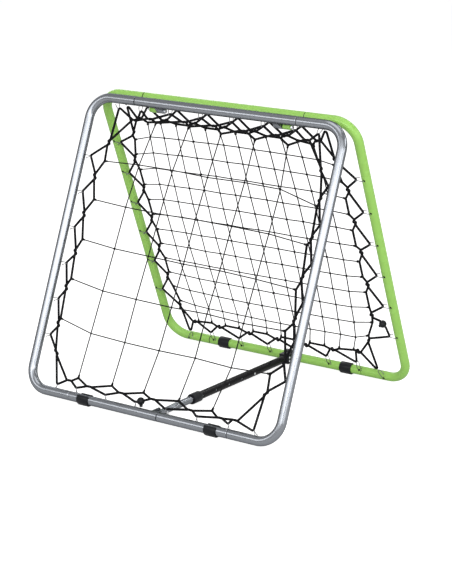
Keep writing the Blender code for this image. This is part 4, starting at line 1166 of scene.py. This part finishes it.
def bolted(line, sign, radius, head, nut):
    """A hexagon bolt and its lock nut on a line along X, in the places of their CAD nodes.

    The bolt points to X's sign; head and nut are a node, a name and half the width over the flats,
    and the head's height comes last.
    """
    node, name, flat, height = head
    start, end = [corner.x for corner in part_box(node)][::sign]
    grip = abs(end - start) - height
    corner = flat / math.cos(math.pi / 6)
    profile = [
        (0, height), (flat * 0.92, height, 1), (corner, height - 0.0006, 1), (corner, 0.0003, 1),
        (flat * 0.96, 0, 1), (radius, 0), (radius, -grip * 0.7), *thread(radius, -grip * 0.7, -grip + 0.0005),
        (radius - 0.0005, -grip), (0, -grip),
    ]
    origin = Vector((start + sign * height, line.y, line.z))
    bolt = lathed(name, profile, origin, -ALONG * sign, BRIGHT_ZINC, steps=36, outline=hexagon(flat))
    finished(bolt, "steel_hardware", "front_frame", node)

    node, name, flat = nut
    start, end = [corner.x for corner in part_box(node)][::sign]
    bore, height = radius + 0.0001, abs(end - start)
    corner, collar = flat / math.cos(math.pi / 6), height * 0.72
    profile = [
        (bore, 0), (flat * 0.95, 0, 1), (corner, 0.0005, 1), (corner, collar - 0.0005, 1),
        (flat * 0.95, collar, 1), (flat * 0.86, collar), (flat * 0.84, height - 0.0003),
        (flat * 0.78, height), (bore, height),
    ]
    made = lathed(
        name, profile, Vector((start, line.y, line.z)), ALONG * sign, BRIGHT_ZINC, closed=True, steps=36,
        outline=hexagon(flat),
    )
    finished(made, "steel_hardware", "front_frame", node)


for sign, side_name in ((-1, "left"), (1, "right")):
    for plane in PLANES:
        node = f"{plane.name}_hinge_ear_{side_name}"
        slot, coat = TUBE_SLOT[plane.name], TUBE_COAT[plane.name]
        low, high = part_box(node)
        width = high.x - low.x
        to_tube = plane.place((0, plane.side)) - HINGE_LINE
        distance, up = to_tube.length, to_tube.normalized()
        centre = HINGE_LINE + ALONG * (low.x + high.x) / 2
        place = drawing(centre, up.cross(ALONG), up, ALONG)
        lug = slab(node + "_lug", lug_outline(distance, LUG_RADIUS), width, place, coat)
        lug = bored(rounded(lug, LUG_EDGE), centre, ALONG, HINGE_BOLT_RADIUS + BOLT_PLAY, width * 2, coat)
        finished(lug, slot, plane.body, node)
        beads = weld_beads(node + "_weld", place, distance, LUG_RADIUS, width, coat)
        finished(beads, slot, plane.body)
    bolted(
        HINGE_LINE, sign, HINGE_BOLT_RADIUS,
        (f"hinge_bolt_{side_name}", f"hinge_screw_{side_name}", 0.0048, 0.004),
        (f"hinge_nut_{side_name}", f"hinge_lock_nut_{side_name}", 0.0050),
    )
    low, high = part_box(f"hinge_washer_{side_name}")
    thick = high.x - low.x
    ring = [(WASHER_BORE, 0.0002), (WASHER_BORE + 0.0002, 0)]
    ring += [(WASHER_RADIUS - 0.0003, 0), (WASHER_RADIUS, 0.0003)]
    ring += [(radius, thick - height) for radius, height in reversed(ring)]
    washer = lathed(
        f"hinge_spacer_{side_name}", ring, HINGE_LINE + ALONG * low.x, ALONG, BLACK_PLASTIC, closed=True
    )
    finished(washer, "black_plastic", "front_frame", f"hinge_washer_{side_name}")


# Strut bracket
# A bent steel bracket welded behind the front bottom tube. The flattened end of the strut turns
# between its cheeks on a bolt.
BRACKET_INNER_WIDTH = 0.025
BRACKET_WALL = 0.0020
BRACKET_WIDTH = BRACKET_INNER_WIDTH + 2 * BRACKET_WALL
BRACKET_END_RADIUS = 0.0090
BRACKET_EDGE = 0.0004
STRUT_BOLT_RADIUS = 0.0025
PIN = Vector((middle_of("strut_inner_tube").x, middle_of("strut_bolt").y, middle_of("strut_bolt").z))
PIN_DISTANCE = PIN.y - PLANES[0].origin.y


def combined(piece, other, operation, name):
    """A piece with another cut out of it or joined to it; the other goes."""
    both = piece.modifiers.new("combined", "BOOLEAN")
    both.operation = operation
    both.object = other
    made = baked(piece, name)
    bpy.data.objects.remove(other)
    return made


place = drawing(PIN, RISING, -REARWARD, ALONG)
outline = lug_outline(PIN_DISTANCE, BRACKET_END_RADIUS)
bracket = slab("strut_bracket_block", outline, BRACKET_WIDTH, place, SILVER_COAT)
room, reach = PIN_DISTANCE - TUBE_RADIUS - BRACKET_WALL, BRACKET_END_RADIUS * 2
notch = [(-reach, -reach), (reach, -reach), (reach, room), (-reach, room)]
cutter = slab("strut_bracket_slot", notch, BRACKET_INNER_WIDTH, place, SILVER_COAT)
bracket = rounded(combined(bracket, cutter, "DIFFERENCE", "strut_bracket_bent"), BRACKET_EDGE)
bracket = bored(bracket, PIN, ALONG, STRUT_BOLT_RADIUS + BOLT_PLAY, BRACKET_WIDTH * 2, SILVER_COAT)
finished(bracket, "silver_tube", "front_frame", "strut_bracket")
beads = weld_beads("strut_bracket_weld", place, PIN_DISTANCE, BRACKET_END_RADIUS, BRACKET_WIDTH, SILVER_COAT)
finished(beads, "silver_tube", "front_frame")
bolted(
    PIN, -1, STRUT_BOLT_RADIUS, ("strut_bolt", "strut_pin", 0.0042, 0.003),
    ("strut_nut", "strut_lock_nut", 0.0040),
)


# Strut tubes
# A silver inner tube, pressed flat at its front end, slides in a black outer tube with five
# holes. A sprung steel button clicks into one of them, and a collar guides the inner tube.
INNER_RADIUS = 0.0095
OUTER_RADIUS = 0.0110
FLAT_HALF_WIDTH = 0.0120
FLAT_HALF_HEIGHT = 0.0045
FLAT_END = 0.0090
FLAT_LENGTH = 0.0350
FLARE_LENGTH = 0.0450
FLARE_STEPS = 12
FIRST_HOLE = 0.1665
HOLE_PITCH = 0.060
HOLE_COUNT = 5
STOP_SHIFT = 0.0010
STRUT_HOLE_RADIUS = 0.0040
STRUT_EDGE = 0.0004
BUTTON_PLACE = FIRST_HOLE + HOLE_PITCH * (HOLE_COUNT - 1)
BUTTON_HOLE_RADIUS = 0.0037
LEAF_REACH = 0.0064
LEAF_THICK = 0.0008
LEAF_WIDTH = 0.008
LEAF_BEND = -0.016
LEAF_TAIL = 0.007
LEAF_EDGE = 0.0001
STUD_RADIUS = 0.0034
SLIDE_PLAY = 0.0003
SECTION_STEPS = 48
BLACK_COAT = speckled_material(
    "black_coat", (0.003, 0.003, 0.004), 0.0, 0.16, 0.15, 1100, 0.00001, gleam=0.18
)


def flattened_ring(distance, shrink):
    """Section of the inner tube behind the pin: flat at the front, round at the back."""
    share = min(1, max(0, (distance - FLAT_LENGTH) / FLARE_LENGTH))
    share = share * share * (3 - 2 * share)
    half_width = FLAT_HALF_WIDTH + (INNER_RADIUS - FLAT_HALF_WIDTH) * share - shrink
    half_height = FLAT_HALF_HEIGHT + (INNER_RADIUS - FLAT_HALF_HEIGHT) * share - shrink
    power = 2 / (4.5 - 2.5 * share)
    ring = []
    for step in range(SECTION_STEPS):
        angle = math.tau * step / SECTION_STEPS
        x = math.copysign(abs(math.cos(angle)) ** power, math.cos(angle)) * half_width
        z = math.copysign(abs(math.sin(angle)) ** power, math.sin(angle)) * half_height
        ring.append(PIN + Vector((x, distance, z)))
    return ring


inner_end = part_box("strut_inner_tube")[1].y - PIN.y
distances = [-FLAT_END + 0.0005, 0, 0.012, 0.024]
distances += [FLAT_LENGTH + FLARE_LENGTH * step / FLARE_STEPS for step in range(FLARE_STEPS + 1)]
distances += [0.12, BUTTON_PLACE - 0.01, BUTTON_PLACE + 0.01, inner_end]
rings = [flattened_ring(-FLAT_END, STRUT_EDGE)] + [flattened_ring(distance, 0) for distance in distances]
rings += [flattened_ring(distance, TUBE_WALL) for distance in reversed([-FLAT_END, *distances])]
inner = ringed("strut_inner_pressed", rings, SILVER_COAT, closed=True)
inner = bored(inner, PIN, ALONG, STRUT_BOLT_RADIUS + BOLT_PLAY, 0.06, SILVER_COAT)
button = PIN + REARWARD * BUTTON_PLACE
inner = bored(inner, button + ALONG * INNER_RADIUS, ALONG, BUTTON_HOLE_RADIUS, 0.010, SILVER_COAT)
finished(inner, "silver_tube", "strut_inner", "strut_inner_tube")

low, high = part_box("strut_outer_tube")
hole_places = [FIRST_HOLE + HOLE_PITCH * hole for hole in range(HOLE_COUNT)]
edge = OUTER_RADIUS - STRUT_EDGE
stops = [(low.y, edge), (low.y + 0.0004, OUTER_RADIUS), (low.y + 0.002, OUTER_RADIUS)]
stops += [(PIN.y + place + margin, OUTER_RADIUS) for place in hole_places for margin in (-0.007, 0.007)]
stops += [(high.y - 0.002, OUTER_RADIUS), (high.y - 0.0004, OUTER_RADIUS), (high.y, edge)]
path = [Vector((PIN.x, y, PIN.z)) for y, _ in stops]
swells = [radius / OUTER_RADIUS for _, radius in stops]
skin = bar("strut_outer_skin", [path], OUTER_RADIUS, SECTION_STEPS, BLACK_COAT, ends=False, swells=swells)
give_wall(skin)
hole_places[0] -= STOP_SHIFT
drills = [(PIN + REARWARD * place + ALONG * OUTER_RADIUS, ALONG) for place in hole_places]
outer = drilled(skin, "strut_outer_coated", drills, STRUT_HOLE_RADIUS, 0.008, BLACK_COAT)
finished(outer, "black_tube", "strut_outer", "strut_outer_tube")

leaf_line = []
for reach, start, end in ((LEAF_REACH, 0, -math.pi), (LEAF_REACH - LEAF_THICK, -math.pi, 0)):
    bend = arc((0, LEAF_BEND), reach, start, end, 20)
    leaf_line += [(bend[0][0], LEAF_TAIL), *bend, (bend[-1][0], LEAF_TAIL)]
leaf_place = drawing(button, ALONG, REARWARD, RISING)
leaf = rounded(slab("strut_button_leaf", leaf_line, LEAF_WIDTH, leaf_place, BRIGHT_ZINC), LEAF_EDGE)
finished(leaf, "steel_hardware", "strut_inner")
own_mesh(leaf)
end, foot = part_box("strut_snap_button")[1].x - PIN.x, LEAF_REACH - LEAF_THICK
stud = [
    (0, foot), (STUD_RADIUS, foot), (STUD_RADIUS, end - 0.0014), (0.0032, end - 0.0006),
    (0.0025, end - 0.0002), (0.0012, end), (0, end),
]
stud = lathed("strut_button_stud", stud, button, ALONG, BRIGHT_ZINC)
finished(stud, "steel_hardware", "strut_button", "strut_snap_button")

low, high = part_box("strut_collar")
radius, length = (high.x - low.x) / 2, high.y - low.y
bore, socket, shelf = INNER_RADIUS + SLIDE_PLAY, OUTER_RADIUS + SLIDE_PLAY, 0.0025
profile = [
    (bore, 0.0006), (bore + 0.0006, 0), (radius - 0.0014, 0), (radius - 0.0004, 0.0005),
    (radius, 0.0016), (radius, length * 0.30), (radius - 0.0004, length * 0.30 + 0.0004),
    (radius - 0.0004, length * 0.36), (radius, length * 0.36 + 0.0004), (radius, length - 0.0016),
    (radius - 0.0005, length - 0.0004), (radius - 0.0012, length), (socket + 0.0003, length),
    (socket, length - 0.0004), (socket, shelf), (bore, shelf),
]
collar = lathed(
    "strut_collar_moulded", profile, Vector((PIN.x, low.y, PIN.z)), REARWARD, BLACK_PLASTIC, closed=True,
    steps=SECTION_STEPS,
)
finished(collar, "black_plastic", "strut_outer", "strut_collar")


# Snap hook
# A moulded black hook plugged into the rear end of the outer tube and held by two cross-head
# screws. Its open jaw snaps over the green bottom tube.
JAW_BORE = TUBE_RADIUS + 0.0022
JAW_WALL = 0.0041
JAW_BACK = JAW_BORE + JAW_WALL
JAW_REAR_ANGLE = math.radians(-25)
JAW_BLOCK_LENGTH = 0.0385
JAW_BLOCK_TOP = 0.0140
JAW_BLOCK_BOTTOM = 0.0130
BLOCK_ROUNDING = 0.002
JAW_EDGE = 0.0010
PLUG_LENGTH = 0.021
PLUG_RADIUS = 0.0092
PLUG_EDGE = 0.001
PLUG_OVERLAP = 0.002
SCREW_HEAD_HEIGHT = 0.0020
SCREW_RADIUS = 0.0015
RECESS_DEPTH = 0.0016

low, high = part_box("strut_snap_hook")
jaw_centre = Vector((PIN.x, PLANES[1].origin.y, PIN.z))
lip = Vector((math.cos(JAW_REAR_ANGLE), math.sin(JAW_REAR_ANGLE))) * (JAW_BORE + JAW_WALL / 2)
crest = math.pi - math.asin(JAW_BLOCK_TOP / JAW_BACK)
front_angle = math.pi + math.asin(JAW_BLOCK_BOTTOM / JAW_BORE)
front_x = BLOCK_ROUNDING - JAW_BLOCK_LENGTH
outline = arc(lip, JAW_WALL / 2, JAW_REAR_ANGLE - math.pi, JAW_REAR_ANGLE, 8)
outline += arc((0, 0), JAW_BACK, JAW_REAR_ANGLE, crest, 36)[1:]
outline += arc((front_x, JAW_BLOCK_TOP - BLOCK_ROUNDING), BLOCK_ROUNDING, QUARTER, math.pi, 5)
outline += arc((front_x, BLOCK_ROUNDING - JAW_BLOCK_BOTTOM), BLOCK_ROUNDING, math.pi, math.pi + QUARTER, 5)
outline += arc((0, 0), JAW_BORE, front_angle, JAW_REAR_ANGLE, 48)[:-1]
place = drawing(jaw_centre, REARWARD, RISING, ALONG)
hook = rounded(slab("strut_hook_body", outline, high.x - low.x, place, BLACK_PLASTIC), JAW_EDGE)
profile = [
    (0, -PLUG_LENGTH), (PLUG_RADIUS - PLUG_EDGE, -PLUG_LENGTH), (PLUG_RADIUS, PLUG_EDGE - PLUG_LENGTH),
    (PLUG_RADIUS, PLUG_OVERLAP), (0, PLUG_OVERLAP),
]
plug = lathed("strut_hook_plug", profile, jaw_centre - REARWARD * JAW_BLOCK_LENGTH, REARWARD, BLACK_PLASTIC)
hook = edged(combined(hook, plug, "UNION", "strut_hook_moulded"))
finished(hook, "black_plastic", "strut_outer", "strut_snap_hook")

for level in ("lower", "upper"):
    low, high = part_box(f"strut_hook_screw_{level}")
    seat = Vector((high.x - SCREW_HEAD_HEIGHT, (low.y + high.y) / 2, (low.z + high.z) / 2))
    head, depth = (high.y - low.y) / 2, seat.x - low.x
    profile = [
        (0, SCREW_HEAD_HEIGHT), (head * 0.45, 0.0019), (head * 0.75, 0.0015), (head * 0.94, 0.0008),
        (head, 0.0002), (head * 0.97, 0), (SCREW_RADIUS, 0), *thread(SCREW_RADIUS, 0, -depth + 0.001),
        (0, -depth),
    ]
    screw = lathed(f"strut_pan_screw_{level}", profile, seat, ALONG, BRIGHT_ZINC, steps=28)
    arm, slot = head * 0.6, head * 0.16
    cross = [
        (-slot, -arm), (slot, -arm), (slot, -slot), (arm, -slot), (arm, slot), (slot, slot),
        (slot, arm), (-slot, arm), (-slot, slot), (-arm, slot), (-arm, -slot), (-slot, -slot),
    ]
    place = drawing(seat + ALONG * SCREW_HEAD_HEIGHT, REARWARD, RISING, ALONG)
    recess = slab("recess", cross, RECESS_DEPTH, place, BRIGHT_ZINC)
    screw = edged(combined(screw, recess, "DIFFERENCE", f"strut_cross_screw_{level}"))
    finished(screw, "steel_hardware", "strut_outer", f"strut_hook_screw_{level}")
